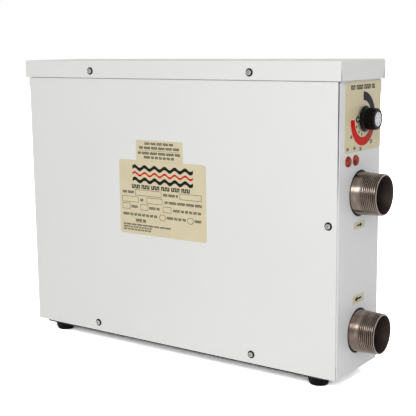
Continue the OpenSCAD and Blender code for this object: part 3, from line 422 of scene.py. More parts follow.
FINISHES = {
    "white_enamel": powder_coat("white_enamel", (0.78, 0.782, 0.768), 0.45),
    # the end panel's copy of the white enamel, a little darker and cooler: painted shade
    "end_enamel": powder_coat("end_enamel", (0.77, 0.76, 0.77), 0.45),
    # the base tray's finish, near black: painted shade for the shadow under the casing
    "dark_paint": moulded("dark_paint", (0.02, 0.02, 0.02), 0.5, 620, 0.03, gloss=0.15),
    "nickel_screws": cast_metal("nickel", (0.42, 0.41, 0.39), 0.2),
    "black_rubber": moulded("rubber", (0.006, 0.006, 0.006), 0.45, 520, 0.03, gloss=0.06),
    "cream_plate": printed_plate("cream_plate", (0.68, 0.60, 0.405)),
    "cream_label": printed_plate("cream_label", (0.64, 0.57, 0.39)),
    "knob_black": moulded("knob_black", (0.0035, 0.0033, 0.0033), 0.1, 700, 0.006, gloss=0.09),
    "knob_silver": spun_metal(
        "knob_silver", (0.52, 0.52, 0.53), KNOB_CENTRE, 0.32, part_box("knob_cap")[1].x
    ),
    "zinc_steel": brushed_metal("zinc", (0.55, 0.56, 0.58), 0.36, (0.1, 1, 1)),
    "copper": cast_metal("copper", (0.62, 0.30, 0.16), 0.32),
    "lamp_red": lamp_glass("lamp"),
    "black_plastic": moulded("black_plastic", (0.02, 0.02, 0.021), 0.42),
    "stainless": brushed_metal("stainless", (0.42, 0.39, 0.36), 0.3, (1, 0.1, 0.1)),
    "element_sheath": cast_metal("sheath", (0.25, 0.24, 0.23), 0.42),
    "brass": cast_metal("brass", (0.63, 0.46, 0.2), 0.3),
    "white_ceramic": glazed_ceramic("ceramic", (0.78, 0.76, 0.7)),
    "orange_plastic": moulded("orange_plastic", (0.75, 0.24, 0.03), 0.4),
    "red_plastic": moulded("red_plastic", (0.55, 0.02, 0.015), 0.35),
    "brown_wire": wire_skin("brown_wire", (0.16, 0.05, 0.02)),
    "blue_wire": wire_skin("blue_wire", (0.03, 0.12, 0.42)),
}
BLACK_INK = print_ink("black_ink", (0.012, 0.011, 0.011))
RED_INK = print_ink("red_ink", (0.60, 0.014, 0.008))
BAND_INK = dial_band_ink("band_ink", KNOB_CENTRE)
# near black: the washers' own finish, and painted shade in the casing's seams
BLACK_WASHER_AND_SHADE = moulded("blackened", (0.012, 0.012, 0.012), 0.5, gloss=0.1)
WHITE_INK = print_ink("white_ink", (0.75, 0.74, 0.70))

for cad_node in frame["nodes"].values():
    for material_slot in cad_node.material_slots:
        material_slot.material = FINISHES[material_slot.material.name]

# -------- mesh helpers

SHARP_EDGE = math.radians(38)


def in_scene(name, data):
    """A new object of the scene with the given data."""
    made = bpy.data.objects.new(name, data)
    bpy.context.scene.collection.objects.link(made)
    return made


def piece(name, mesh, material, body, smooth=True):
    """Links a finished bmesh as a piece of the object that rides on a body."""
    bmesh.ops.recalc_face_normals(mesh, faces=mesh.faces)
    data = bpy.data.meshes.new(name)
    mesh.to_mesh(data)
    mesh.free()
    data.materials.append(material)
    for polygon in data.polygons:
        polygon.use_smooth = smooth
    if smooth:
        data.set_sharp_from_angle(angle=SHARP_EDGE)
    made = in_scene(name, data)
    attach(made, body)
    return made


def loft(mesh, rings, closed_ends=(True, True)):
    """Joins rings of equal length with quads; a ring may be one point, and ends may be capped."""
    made = [[mesh.verts.new(point) for point in ring] for ring in rings]
    for low, high in zip(made, made[1:]):
        count = max(len(low), len(high))
        for k in range(count):
            j = (k + 1) % count
            if len(low) == 1:
                mesh.faces.new((low[0], high[j], high[k]))
            elif len(high) == 1:
                mesh.faces.new((low[k], low[j], high[0]))
            else:
                mesh.faces.new((low[k], low[j], high[j], high[k]))
    for ring, capped in zip((made[0], made[-1]), closed_ends):
        if capped and len(ring) > 2:
            mesh.faces.new(ring)
    return made


def bridge(mesh, ring_a, ring_b):
    """Closes a tube-like solid by joining its last ring to its first."""
    count = len(ring_a)
    for k in range(count):
        j = (k + 1) % count
        mesh.faces.new((ring_a[k], ring_a[j], ring_b[j], ring_b[k]))


class Axis:
    """A place and three directions: points are given as (distance along, radius, turn)."""

    def __init__(self, origin, along, side):
        self.origin, self.along, self.side = Vector(origin), Vector(along), Vector(side)
        self.other = self.along.cross(self.side)

    def point(self, distance, radius, turn):
        """turn is in radians, from the side direction."""
        out = math.cos(turn) * self.side + math.sin(turn) * self.other
        return self.origin + distance * self.along + radius * out

    def ring(self, distance, radius, count):
        """radius is a number, or a function of the turn."""
        if radius == 0:
            return [self.point(distance, 0, 0)]
        turns = [2 * math.pi * k / count for k in range(count)]
        size = radius if callable(radius) else (lambda turn: radius)
        return [self.point(distance, size(turn), turn) for turn in turns]


INK_LIFT = 0.03 * MM
# how much of its line's width a field's inner corner is cut less than its outer one
INNER_CUT = 0.41
# a meander's bar over its height, its pitch and its rail over the bar, a gap over the pitch
BAR_SHARE, PITCH_SHARE, RAIL_SHARE, GAP_SHARE = 0.34, 1.62, 0.8, 0.7


class Sheet:
    """A printed face: shapes are given in metres from its lower left corner, seen from outside."""

    def __init__(self, corner, right, up, lift):
        self.corner, self.right, self.up = Vector(corner), Vector(right), Vector(up)
        self.out = self.right.cross(self.up)
        self.lift = lift

    def place(self, u, v, height):
        """A point over the face; height is how far out of it."""
        return self.corner + u * self.right + v * self.up + height * self.out

    def levels(self, mesh, loops):
        """The points of each loop above the printed face, and those below it."""
        return [
            [[mesh.verts.new(self.place(*p, lift)) for p in loop] for loop in loops]
            for lift in (self.lift, -self.lift)
        ]

    def patch(self, mesh, outline, hole=None):
        """Prints one closed outline as a thin solid, with one hole if given."""
        tops, lows = self.levels(mesh, [outline] if hole is None else [outline, hole])
        for top, low in zip(tops, lows):
            bridge(mesh, top, low)
        for level in (tops, lows):
            if hole is None:
                mesh.faces.new(level[0])
            else:
                bridge(mesh, level[0], level[1])

    def bar(self, mesh, u0, v0, u1, v1):
        """Prints a solid box."""
        self.patch(mesh, [(u0, v0), (u1, v0), (u1, v1), (u0, v1)])

    def field(self, mesh, u0, v0, u1, v1, line, cut=0.0):
        """A blank field: a thin outline, with its corners cut if asked."""
        inner_cut = cut - INNER_CUT * line if cut else 0
        self.patch(
            mesh,
            cut_box(u0, v0, u1, v1, cut),
            cut_box(u0 + line, v0 + line, u1 - line, v1 - line, inner_cut),
        )

    def words(self, mesh, u0, u1, v, height, seed):
        """A square meander in groups of a few bars, where a line of words would stand.

        The seed sets how many bars the groups have, and whether the first rail is high or low.
        """
        stroke = BAR_SHARE * height
        pitch = PITCH_SHARE * stroke
        rail = RAIL_SHARE * stroke
        u, k = u0, seed
        left = 3 + (seed * 7) % 4
        while u + stroke <= u1:
            self.bar(mesh, u, v, u + stroke, v + height)
            left -= 1
            k += 1
            if left and u + pitch + stroke <= u1:
                low = v if k % 2 else v + height - rail
                self.bar(mesh, u + stroke, low, u + pitch, low + rail)
            u += pitch
            if left == 0:
                u += GAP_SHARE * pitch
                left = 3 + (k * 5 + seed) % 5
                if u + pitch + stroke > u1:
                    break


def cut_box(u0, v0, u1, v1, cut):
    """The corners of a box, or the eight points of one with cut corners."""
    if not cut:
        return [(u0, v0), (u1, v0), (u1, v1), (u0, v1)]
    return [
        (u0 + cut, v0), (u1 - cut, v0), (u1, v0 + cut), (u1, v1 - cut),
        (u1 - cut, v1), (u0 + cut, v1), (u0, v1 - cut), (u0, v0 + cut),
    ]


# -------- plates


def front_sheet(node):
    """A plate on the casing's front as a sheet, with its width and its height."""
    low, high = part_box(node)
    return Sheet((low.x, low.y, low.z), X, Z, INK_LIFT), high.x - low.x, high.z - low.z


WAVE_STEPS = 12


def wave_line(sheet, mesh, u0, u1, v, swing, width, waves):
    """A plain wavy line, a sign for water."""
    steps = WAVE_STEPS * waves
    along = [u0 + (u1 - u0) * k / steps for k in range(steps + 1)]
    level = [v + swing * math.sin(2 * math.pi * waves * k / steps) for k in range(steps + 1)]
    top = [(u, w + width / 2) for u, w in zip(along, level)]
    low = [(u, w - width / 2) for u, w in zip(along, level)]
    sheet.patch(mesh, low + top[::-1])


def rating_print():
    """Blank fields, rules and meanders on the rating plate, and waves in the place of a name."""
    sheet, width, height = front_sheet("rating_plate")
    mesh, accent = bmesh.new(), bmesh.new()
    left, right = 0.16 * width, 0.86 * width
    for k, (ink, thickness) in enumerate(((mesh, 4.4), (accent, 2.6), (mesh, 4.4))):
        middle = height - (9.4 + 7.6 * k) * MM
        wave_line(sheet, ink, left, right, middle, 1.9 * MM, thickness * MM, waves=6)
    piece("rating_accent", accent, RED_INK, CASING, smooth=False)
    line, field_height = 0.48 * MM, 7.4 * MM
    heading, text, small = 4.9 * MM, 3.1 * MM, 2.1 * MM
    sheet.words(mesh, 0.15 * width, right, height - 35.2 * MM, heading, 2)
    # each row, in millimetres: its foot below the plate's top, its fields, its lines of words
    rows = [
        (43.8, [(25, 66), (94, 126.5)], [(5, 23), (69, 92)]),
        (52.8, [(4, 30), (43, 67.5)], [(33, 41), (71, 127)]),
        (61.8, [(4, 16.5), (33, 45), (68, 81)], [(18.5, 31), (47, 66), (84, 128)]),
    ]
    for k, (drop, fields, lines) in enumerate(rows):
        low = height - drop * MM
        for u0, u1 in fields:
            sheet.field(mesh, u0 * MM, low, u1 * MM, low + field_height, line)
        for u0, u1 in lines:
            sheet.words(mesh, u0 * MM, u1 * MM, low + 2 * MM, text, 3 + k)
    # the row with two cut-cornered fields, a heading with its rule, and three small lines
    low = height - 69.6 * MM
    for u0, u1 in ((5, 61), (74, 104), (116, 127)):
        sheet.words(mesh, u0 * MM, u1 * MM, low, text, 5)
    for u0 in (62.5, 105):
        sheet.field(mesh, u0 * MM, low - 2.6 * MM, (u0 + 9.5) * MM, low + 5 * MM, line, 2.4 * MM)
    sheet.words(mesh, 25 * MM, 42 * MM, height - 76.4 * MM, text, 1)
    sheet.bar(mesh, 25 * MM, height - 77.6 * MM, 41 * MM, height - 77.1 * MM)
    for k, reach in enumerate((81, 53, 50)):
        sheet.words(mesh, 5 * MM, reach * MM, height - (82 + 3.2 * k) * MM, small, 4 + k)
    piece("rating_print", mesh, BLACK_INK, CASING, smooth=False)


def data_print():
    """Four lines of meanders and a rule on the narrow plate."""
    sheet, width, height = front_sheet("data_plate")
    mesh = bmesh.new()
    middle = width / 2
    # each line: its foot below the plate's top in millimetres, its share of the width
    for k, (drop, reach) in enumerate(((5.4, 0.62), (10.6, 0.86), (17.2, 0.92), (22.2, 0.66))):
        half = reach * width / 2
        sheet.words(mesh, middle - half, middle + half, height - drop * MM, 3 * MM, 2 + k)
    sheet.bar(mesh, 0.05 * width, height - 12.6 * MM, 0.95 * width, height - 12.3 * MM)
    piece("data_print", mesh, BLACK_INK, CASING, smooth=False)


def end_sheet(low, high):
    """A plate on the casing's right end as a sheet, from its box's corners."""
    return Sheet((high.x, low.y, low.z), Y, Z, INK_LIFT)


# a figure's height over its typeface's size, and how much it is thickened over its height
FIGURE_SHARE, FIGURE_WEIGHT = 0.7, 0.05


def numeral(sheet, mesh, text, u, v, height):
    """Prints plain figures, centred on a point, with Blender's built-in typeface."""
    curve = bpy.data.curves.new("figures", "FONT")
    curve.body = text
    curve.size = height / FIGURE_SHARE
    curve.align_x = "CENTER"
    curve.resolution_u = 3
    curve.offset = FIGURE_WEIGHT * height
    holder = in_scene("figures", curve)
    bpy.context.view_layer.update()
    flat = holder.evaluated_get(bpy.context.evaluated_depsgraph_get())
    shape = bmesh.new()
    shape.from_mesh(flat.to_mesh())
    flat.to_mesh_clear()
    bpy.data.objects.remove(holder)
    bmesh.ops.remove_doubles(shape, verts=shape.verts, dist=1e-6)
    shape.verts.index_update()
    points = [(u + vert.co.x, v - height / 2 + vert.co.y) for vert in shape.verts]
    (top,), (low,) = sheet.levels(mesh, [points])
    for face in shape.faces:
        corners = [vert.index for vert in face.verts]
        mesh.faces.new([top[k] for k in corners])
        mesh.faces.new([low[k] for k in reversed(corners)])
    for edge in shape.edges:
        if len(edge.link_faces) == 1:
            a, b = (vert.index for vert in edge.verts)
            mesh.faces.new((top[a], top[b], low[b], low[a]))
    shape.free()


# the dial's band, its figures and the marks inside it: turns are in degrees from the top
BAND_OUT, BAND_IN = 29.7 * MM, 20.2 * MM
BAND_END, BAND_STEPS = 270, 60
FIGURE_TURNS, FIGURE_AT, FIGURE_H = (143, 190, 237), 33.2 * MM, 3.7 * MM
MARK_TURNS, MARK_AT = (190, 215, 242), 17.2 * MM
MARK_U, MARK_V = 1.1 * MM, 1.4 * MM


def clockwise(centre, radius, degrees):
    """A point on the dial: degrees run clockwise from the top, seen from outside."""
    turn = math.radians(degrees)
    return centre[0] + radius * math.sin(turn), centre[1] + radius * math.cos(turn)


def dial_prints():
    """The dial's heat band, figures from 20 to 40, marks and lines of meanders."""
    low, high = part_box("dial_plate")
    sheet = end_sheet(low, high)
    centre = (KNOB_CENTRE.y - low.y, KNOB_CENTRE.z - low.z)
    band = bmesh.new()
    degrees = [BAND_END * k / BAND_STEPS for k in range(BAND_STEPS + 1)]
    outer = [clockwise(centre, BAND_OUT, d) for d in degrees]
    inner = [clockwise(centre, BAND_IN, d) for d in degrees]
    tops, lows = sheet.levels(band, (outer, inner))
    for k in range(BAND_STEPS):
        band.faces.new((tops[0][k], tops[0][k + 1], tops[1][k + 1], tops[1][k]))
        band.faces.new((lows[0][k], lows[0][k + 1], lows[1][k + 1], lows[1][k]))
        for side in (0, 1):
            band.faces.new((tops[side][k], tops[side][k + 1], lows[side][k + 1], lows[side][k]))
    for k in (0, -1):
        band.faces.new((tops[0][k], tops[1][k], lows[1][k], lows[0][k]))
    piece("dial_band", band, BAND_INK, CASING, smooth=False)

    mesh = bmesh.new()
    for k, turn in enumerate(FIGURE_TURNS):
        numeral(sheet, mesh, str(10 * (k + 2)), *clockwise(centre, FIGURE_AT, turn), FIGURE_H)
    for across in (-38.5, -22.5):
        left = centre[0] + across * MM
        sheet.words(mesh, left, left + 5 * MM, centre[1] - 32.6 * MM, 3.4 * MM, 1)
    for turn in MARK_TURNS:
        u, v = clockwise(centre, MARK_AT, turn)
        sheet.bar(mesh, u - MARK_U, v - MARK_V, u + MARK_U, v + MARK_V)
    sheet.words(mesh, 13.2 * MM, 72.8 * MM, high.z - low.z - 8.6 * MM, 5 * MM, 3)
    piece("dial_print", mesh, BLACK_INK, CASING, smooth=False)


# an arrow's corners about its middle, in units of which a label is 8.5 high
ARROW = [(-7, -1), (2, -1), (2, -3), (8, 0), (2, 3), (2, 1), (-7, 1)]
ARROW_UNITS = 8.5


def port_prints():
    """Arrows on the two pipe labels: water comes in below and goes out above."""
    mesh = bmesh.new()
    labels = sorted(loose_parts("port_labels"), key=lambda pair: pair[0].z)
    for (low, high), way in zip(labels, (-1, 1)):
        sheet = end_sheet(low, high)
        middle = ((high.y - low.y) / 2, (high.z - low.z) / 2)
        unit = (high.z - low.z) / ARROW_UNITS
        outline = [(middle[0] + way * u * unit, middle[1] + v * unit) for u, v in ARROW]
        sheet.patch(mesh, outline)
    piece("port_prints", mesh, BLACK_INK, CASING, smooth=False)


# -------- knob

# the grip's flutes: their number, their radius, and how far outside the grip their axes lie
FLUTES, FLUTE_R, FLUTE_OUT = 18, 1.75 * MM, 0.95 * MM
FLUTE_SIDES, FLUTE_STEPS = 16, 8
# the bore for the thermostat's shaft, and the hub round it
SHAFT_BORE_R, SHAFT_BORE_DEPTH, HUB_R = 3.06 * MM, 13 * MM, 6 * MM
# the grip's radius over the skirt's, and the room round and behind the cap
GRIP_SHARE, CAP_ROOM, SEAT_ROOM = 0.82, 0.1 * MM, 0.05 * MM


def flute_cut(turn, grip_r):
    """How deep the fluted grip is cut at a turn about its axis."""
    pitch = 2 * math.pi / FLUTES
    off = (turn + math.pi / FLUTES) % pitch - pitch / 2
    away = off + pitch / 2 if off < 0 else off - pitch / 2
    reach = grip_r + FLUTE_OUT
    across = reach * math.sin(away)
    if abs(across) >= FLUTE_R:
        return 0.0
    edge = reach * math.cos(away) - math.sqrt(FLUTE_R ** 2 - across ** 2)
    return max(0.0, grip_r - edge)


def knob():
    """The fluted knob with its skirt, and the recess that holds the cap."""
    axis = Axis(KNOB_CENTRE, X, Y)
    skirt_r = (KNOB_HIGH.y - KNOB_LOW.y) / 2
    tip = KNOB_HIGH.x - DIAL_X
    foot = KNOB_LOW.x - DIAL_X
    grip_r = skirt_r * GRIP_SHARE
    cap_low, cap_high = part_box("knob_cap")
    cap_r = (cap_high.y - cap_low.y) / 2 + CAP_ROOM
    seat = cap_low.x - DIAL_X - SEAT_ROOM
    mesh = bmesh.new()
    count = FLUTES * FLUTE_SIDES

    def fluted(radius, share):
        return lambda turn: radius - share * flute_cut(turn, grip_r)

    skirt_low, skirt_high = foot + 2 * MM, foot + 3.4 * MM
    flute_low, flute_high = skirt_high + 2.8 * MM, tip - 1.7 * MM
    rings = [
        (SHAFT_BORE_DEPTH, 0), (SHAFT_BORE_DEPTH, SHAFT_BORE_R), (foot, SHAFT_BORE_R),
        (foot, HUB_R), (skirt_low, HUB_R),
        (skirt_low, skirt_r - 0.5 * MM), (skirt_low + 0.15 * MM, skirt_r - 0.15 * MM),
        (skirt_low + 0.5 * MM, skirt_r), (skirt_high, skirt_r - 0.1 * MM),
        (skirt_high + 0.35 * MM, skirt_r - 0.5 * MM), (skirt_high + 0.75 * MM, grip_r + 0.9 * MM),
        (skirt_high + 1.1 * MM, grip_r + 0.3 * MM), (skirt_high + 1.6 * MM, fluted(grip_r, 0)),
        (skirt_high + 1.9 * MM, fluted(grip_r, 0.35)), (skirt_high + 2.3 * MM, fluted(grip_r, 0.8)),
    ]
    for k in range(FLUTE_STEPS + 1):
        level = flute_low + (flute_high - flute_low) * k / FLUTE_STEPS
        rings.append((level, fluted(grip_r, 1)))
    rings += [
        (tip - 1.2 * MM, fluted(grip_r - 0.06 * MM, 0.8)),
        (tip - 0.75 * MM, fluted(grip_r - 0.22 * MM, 0.45)),
        (tip - 0.38 * MM, fluted(grip_r - 0.5 * MM, 0.15)), (tip - 0.12 * MM, grip_r - 0.85 * MM),
        (tip, grip_r - 1.35 * MM), (tip, cap_r + 0.3 * MM), (tip - 0.15 * MM, cap_r),
        (seat, cap_r), (seat, 0),
    ]
    loft(mesh, [axis.ring(d, r, count) for d, r in rings])
    made = piece("fluted_knob", mesh, FINISHES["knob_black"], KNOB_BODY)
    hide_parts("temperature_knob")

    pointer = bmesh.new()
    sheet = Sheet(axis.point(tip, 0, 0), Y, Z, INK_LIFT)
    sheet.bar(pointer, cap_r + 0.5 * MM, -0.45 * MM, grip_r - 1.4 * MM, 0.45 * MM)
    piece("knob_pointer", pointer, WHITE_INK, KNOB_BODY, smooth=False)


def knob_cap():
    """The turned metal disc on the knob: two raised rings and five small dimples."""
    low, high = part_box("knob_cap")
    axis = Axis((low.x, KNOB_CENTRE.y, KNOB_CENTRE.z), X, Y)
    radius = (high.y - low.y) / 2
    top = high.x - low.x
    dimple_at, dimple_r, dimple_depth, dimples = 0.62 * radius, 0.62 * MM, 0.3 * MM, 5
    ridges, ridge_r, ridge_height = (0.34 * radius, 0.86 * radius), 0.35 * MM, 0.12 * MM
    mesh = bmesh.new()

    def face_level(r, turn):
        """The height of the disc's front at a radius and a turn."""
        level = top - ridge_height
        for ridge_at in ridges:
            level += ridge_height * math.exp(-((r - ridge_at) / ridge_r) ** 2)
        for k in range(dimples):
            spot = 2 * math.pi * (k + 0.25) / dimples
            away2 = r * r + dimple_at ** 2 - 2 * r * dimple_at * math.cos(turn - spot)
            level -= dimple_depth * math.exp(-away2 / dimple_r ** 2)
        return level

    count, steps = 120, 34
    turns = [2 * math.pi * j / count for j in range(count)]
    rings = [
        [axis.point(0, 0, 0)], axis.ring(0, radius, count),
        axis.ring(top - 0.5 * MM, radius, count),
        axis.ring(top - 0.22 * MM, radius - 0.12 * MM, count),
    ]
    for k in range(steps):
        r = (radius - 0.3 * MM) * (1 - k / steps)
        rings.append([axis.point(face_level(r, t), r, t) for t in turns])
    rings.append([axis.point(face_level(0, 0), 0, 0)])
    loft(mesh, rings)
    made = piece("knob_disc", mesh, FINISHES["knob_silver"], KNOB_BODY)
    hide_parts("knob_cap")


# -------- lamps

LENS_RIM, LENS_SIDES, DOME_STEPS = 1.15 * MM, 96, 12
RIBS, RIB_DEPTH = 24, 0.12 * MM


def ribbed(radius):
    """A radius that ribs cut into, as a function of the turn."""
    return lambda turn: radius - RIB_DEPTH * (0.5 + 0.5 * math.cos(RIBS * turn))


def lamp_lenses():
    """Two domed lenses, each with a ribbed rim."""
    mesh = bmesh.new()
    for low, high in loose_parts("lamp_lenses"):
        radius = (high.y - low.y) / 2
        axis = Axis((low.x, (low.y + high.y) / 2, (low.z + high.z) / 2), X, Y)
        rise, dome_r = high.x - low.x - LENS_RIM, radius - 0.55 * MM
        profile = [
            (0, 0), (0, radius), (LENS_RIM - 0.3 * MM, ribbed(radius)),
            (LENS_RIM, ribbed(radius - 0.3 * MM)), (LENS_RIM, ribbed(dome_r)),
        ]
        for k in range(1, DOME_STEPS):
            lean = math.radians(90 * k / DOME_STEPS)
            profile.append((LENS_RIM + rise * math.sin(lean), dome_r * math.cos(lean)))
        profile.append((LENS_RIM + rise, 0))
        loft(mesh, [axis.ring(d, r, LENS_SIDES) for d, r in profile])
    made = piece("lamp_domes", mesh, FINISHES["lamp_red"], CASING)
    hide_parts("lamp_lenses")


# -------- pipes

PIPE_SIDES, THREAD_STEPS = 96, 20
BORE_R, PLAIN_OUT = 21 * MM, 10.5 * MM
# the crest's share of the pitch, and how much it falls over that share
CREST_SHARE, CREST_LEAN = 0.42, 0.4 * MM
# the turning marks on the plain part: their pitch, depth, and the slope's share of the pitch
TOOL_PITCH, TOOL_DEPTH, TOOL_SHARE = 0.42 * MM, 0.17 * MM, 0.88
# the neck behind the end panel, and the pitches over which the thread gets its full depth
NECK_STEP, NECK_END, RUN_IN = 0.4 * MM, 1 * MM, 1.2


def thread_depth(phase):
    """How deep the thread lies at a place in its pitch: a leaning crest, then a sharp valley."""
    if phase < CREST_SHARE:
        return CREST_LEAN * phase / CREST_SHARE
    valley = (phase - CREST_SHARE) / (1 - CREST_SHARE)
    edge = CREST_LEAN * (1 - valley)
    return edge + (THREAD_DEPTH - edge) * (1 - abs(2 * valley - 1))


def threaded_pipe(node, name):
    """A pipe nipple with turning marks on its plain part and a true helical thread."""
    low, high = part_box(node)
    axis = Axis((0, (low.y + high.y) / 2, (low.z + high.z) / 2), X, Z)
    out_r = (high.y - low.y) / 2
    neck_r, neck_end = out_r - NECK_STEP, PANEL_X - NECK_END
    start = PANEL_X + PLAIN_OUT
    tip = high.x
    last = tip - 0.9 * MM
    mesh = bmesh.new()

    def thread(x):
        def radius(turn):
            grown = min(1.0, (x - start) / (RUN_IN * THREAD_PITCH))
            phase = ((x - start) / THREAD_PITCH - turn / (2 * math.pi)) % 1.0
            return out_r - (x - start) * THREAD_TAPER - grown * thread_depth(phase)
        return radius

    rings = [(low.x, BORE_R), (low.x, neck_r), (neck_end, neck_r), (neck_end, out_r)]
    marks = int(PLAIN_OUT / TOOL_PITCH)
    for k in range(marks):
        x = start - (marks - k) * TOOL_PITCH
        rings += [(x, out_r), (x + TOOL_SHARE * TOOL_PITCH, out_r - TOOL_DEPTH)]
    rows = round((last - start) / THREAD_PITCH * THREAD_STEPS)
    for k in range(rows + 1):
        x = start + (last - start) * k / rows
        rings.append((x, thread(x)))
    end_r = out_r - (tip - start) * THREAD_TAPER - 0.45 * MM
    rings += [
        (tip - 0.45 * MM, end_r), (tip - 0.1 * MM, end_r - 0.25 * MM), (tip, end_r - 0.6 * MM),
        (tip, BORE_R + 0.7 * MM), (tip - 0.25 * MM, BORE_R + 0.25 * MM), (last, BORE_R),
    ]
    made = loft(mesh, [axis.ring(x, r, PIPE_SIDES) for x, r in rings], (False, False))
    bridge(mesh, made[-1], made[0])
    steel = pipe_steel(name, axis.origin, BORE_R, out_r, start, tip)
    pipe = piece(name, mesh, steel, CASING)
    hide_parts(node)


# -------- screws

# a head's radius over its washer's
HEAD_SHARE = 0.64
WASHER_H, SHANK_R = 0.9 * MM, 2 * MM
SCREW_SIDES, HEAD_STEPS, EDGE_STEPS = 64, 26, 8
# the cross: its arm and half its width over the head's radius, its depth over the head's height
CROSS_ARM, CROSS_HALF, CROSS_DEPTH = 0.6, 0.16, 0.72


def screw_axis(seat, out):
    """The axis of a screw whose head faces the way that out points."""
    return Axis(seat, out, Z if abs(out.z) < 0.5 else X)


def pan_head(mesh, axis, radius, height, shank):
    """A pan-head screw with a tapered cross recess."""
    arm, half, deep = CROSS_ARM * radius, CROSS_HALF * radius, CROSS_DEPTH * height

    def recess(r, turn):
        """How deep the cross is below a point of the head."""
        u, v = abs(r * math.cos(turn)), abs(r * math.sin(turn))
        near, far = min(u, v), max(u, v)
        wall = min(1.0, max(0.0, (half * (1.25 - 0.5 * far / arm) - near) / (0.35 * half)))
        end = min(1.0, max(0.0, (arm - far) / (0.25 * arm)))
        return deep * wall * end

    outline = [
        (-shank, 0), (-shank, SHANK_R), (0, SHANK_R), (0, radius - 0.1 * MM), (0.12 * MM, radius),
    ]
    rings = [axis.ring(d, r, SCREW_SIDES) for d, r in outline]
    edge = 0.3 * radius
    turns = [2 * math.pi * j / SCREW_SIDES for j in range(SCREW_SIDES)]
    for k in range(HEAD_STEPS):
        if k <= EDGE_STEPS:
            lean = math.pi / 2 * k / EDGE_STEPS
            r = radius - edge + edge * math.cos(lean)
            level = 0.35 * height + 0.45 * height * math.sin(lean)
        else:
            share = 1 - (k - EDGE_STEPS) / (HEAD_STEPS - EDGE_STEPS)
            r = (radius - edge) * share
            level = 0.8 * height + 0.2 * height * (1 - share ** 2)
        rings.append([axis.point(level - recess(r, t), r, t) for t in turns])
    rings.append([axis.point(height - deep, 0, 0)])
    loft(mesh, rings)


def washer(mesh, axis, radius):
    """A dished washer whose top falls towards its rim."""
    bore_r = SHANK_R + 0.05 * MM
    profile = [
        (0, bore_r), (0, radius - 0.15 * MM), (0.15 * MM, radius),
        (0.35 * MM, radius - 0.05 * MM), (WASHER_H, HEAD_SHARE * radius), (WASHER_H, bore_r),
    ]
    rings = loft(mesh, [axis.ring(d, r, SCREW_SIDES) for d, r in profile], (False, False))
    bridge(mesh, rings[-1], rings[0])


def screws(node, name):
    """Redraws each screw of a node with a domed head on a blackened washer."""
    mesh, rings = bmesh.new(), bmesh.new()
    for low, high in loose_parts(node):
        size = high - low
        centre = (low + high) / 2
        long_way = max(range(3), key=lambda k: size[k])
        radius = min(size) / 2 if long_way else (high.y - low.y) / 2
        out = Vector((0, 0, 0))
        out[long_way] = 1 if centre[long_way] > 0 else -1
        head = 2.3 * MM if radius > 4 * MM else 2 * MM
        length = size[long_way]
        seat = centre.copy()
        seat[long_way] += out[long_way] * (length / 2 - head)
        pan_head(
            mesh, screw_axis(seat + out * WASHER_H, out), HEAD_SHARE * radius, head - WASHER_H,
            length - head + WASHER_H,
        )
        washer(rings, screw_axis(seat, out), radius)
    made = piece(name, mesh, FINISHES["nickel_screws"], CASING)
    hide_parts(node)
    piece(name + "_washers", rings, BLACK_WASHER_AND_SHADE, CASING)


# -------- seams

SHEET_T, SLIT_WIDTH, SLIT_HEIGHT = 1.2 * MM, 1.55 * MM, 14.5 * MM
# the painted shade strip's section in millimetres from the jacket's front right corner, and its
# middle
SEAM_SHADE = ((0.25, 0.8), (0.85, 0.9), (0.97, 1.75), (0.7, 2.3), (-0.4, 2.1), (-0.4, 1.1))
SEAM_SHADE_HEART = Vector((0.5, 1.5, 0)) * MM
# how large the painted shade strip is at each distance in millimetres below its top
SEAM_SHADE_SHARES = ((0, 0.5), (10, 0.75), (35, 0.7), (60, 0.4), (100, 0.25), (130, 0))


def seam_shade_strip():
    """A dark strip of painted shade between the jacket's front edge and the end panel, thinning
    downwards.
    """
    low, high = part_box("jacket")
    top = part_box("lid")[0].z - 1 * MM
    section = [Vector((u, v, 0)) * MM - SEAM_SHADE_HEART for u, v in SEAM_SHADE]
    rings = []
    for drop, share in SEAM_SHADE_SHARES:
        heart = Vector((high.x, low.y, top - drop * MM)) + SEAM_SHADE_HEART
        rings.append([heart + share * point for point in section] if share else [heart])
    mesh = bmesh.new()
    loft(mesh, rings)
    piece("seam_shade_strip", mesh, BLACK_WASHER_AND_SHADE, CASING, smooth=False)


def slit_shade_wedges():
    """Dark wedges of painted shade in the open seam at each corner of the lid."""
    low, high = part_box("lid")
    foot = low.z + 0.05 * MM
    mesh = bmesh.new()
    for end in (low.x, high.x):
        for side in (low.y, high.y):
            y0 = side - math.copysign(SHEET_T + 0.02 * MM, side)
            y1 = y0 - math.copysign(SLIT_WIDTH, side)
            corners = (y0, foot), (y1, foot), (y0, foot + SLIT_HEIGHT)
            levels = [end - math.copysign(deep, end) for deep in (0.06 * MM, 1 * MM)]
            loft(mesh, [[Vector((x, y, z)) for y, z in corners] for x in levels])
    piece("slit_shade_wedges", mesh, BLACK_WASHER_AND_SHADE, CASING, smooth=False)


# -------- build the pieces

seam_shade_strip()
slit_shade_wedges()

rating_print()
data_print()
dial_prints()
port_prints()
knob()
knob_cap()
lamp_lenses()
threaded_pipe("inlet_nipple", "inlet_pipe")
threaded_pipe("outlet_nipple", "outlet_pipe")
screws("lid_screws", "lid_pan_screws")
screws("jacket_screws", "jacket_pan_screws")
screws("thermostat_screws", "dial_pan_screws")

# -------- stage

# the floor's reflectance and its own light as the camera and as a gloss sees it, and the
# reflectance that lights the object
FLOOR_SEEN, SEEN_GLOW = 5.4, 0.02
FLOOR_IN_GLOSS, GLOSS_GLOW = 1.6, 0.25
FLOOR_BOUNCE = 0.95
FLOOR_HALF = 6.0
# the studio's even light, and what is added to it in front of the object
AMBIENT = 0.37
FRONT_LIGHT = 0.95
FRONT_AZIMUTH = 25
KEY_ANGLES, KEY_DISTANCE, KEY_SIZE, KEY_POWER = (20, 25), 0.87, 0.3, 1.65


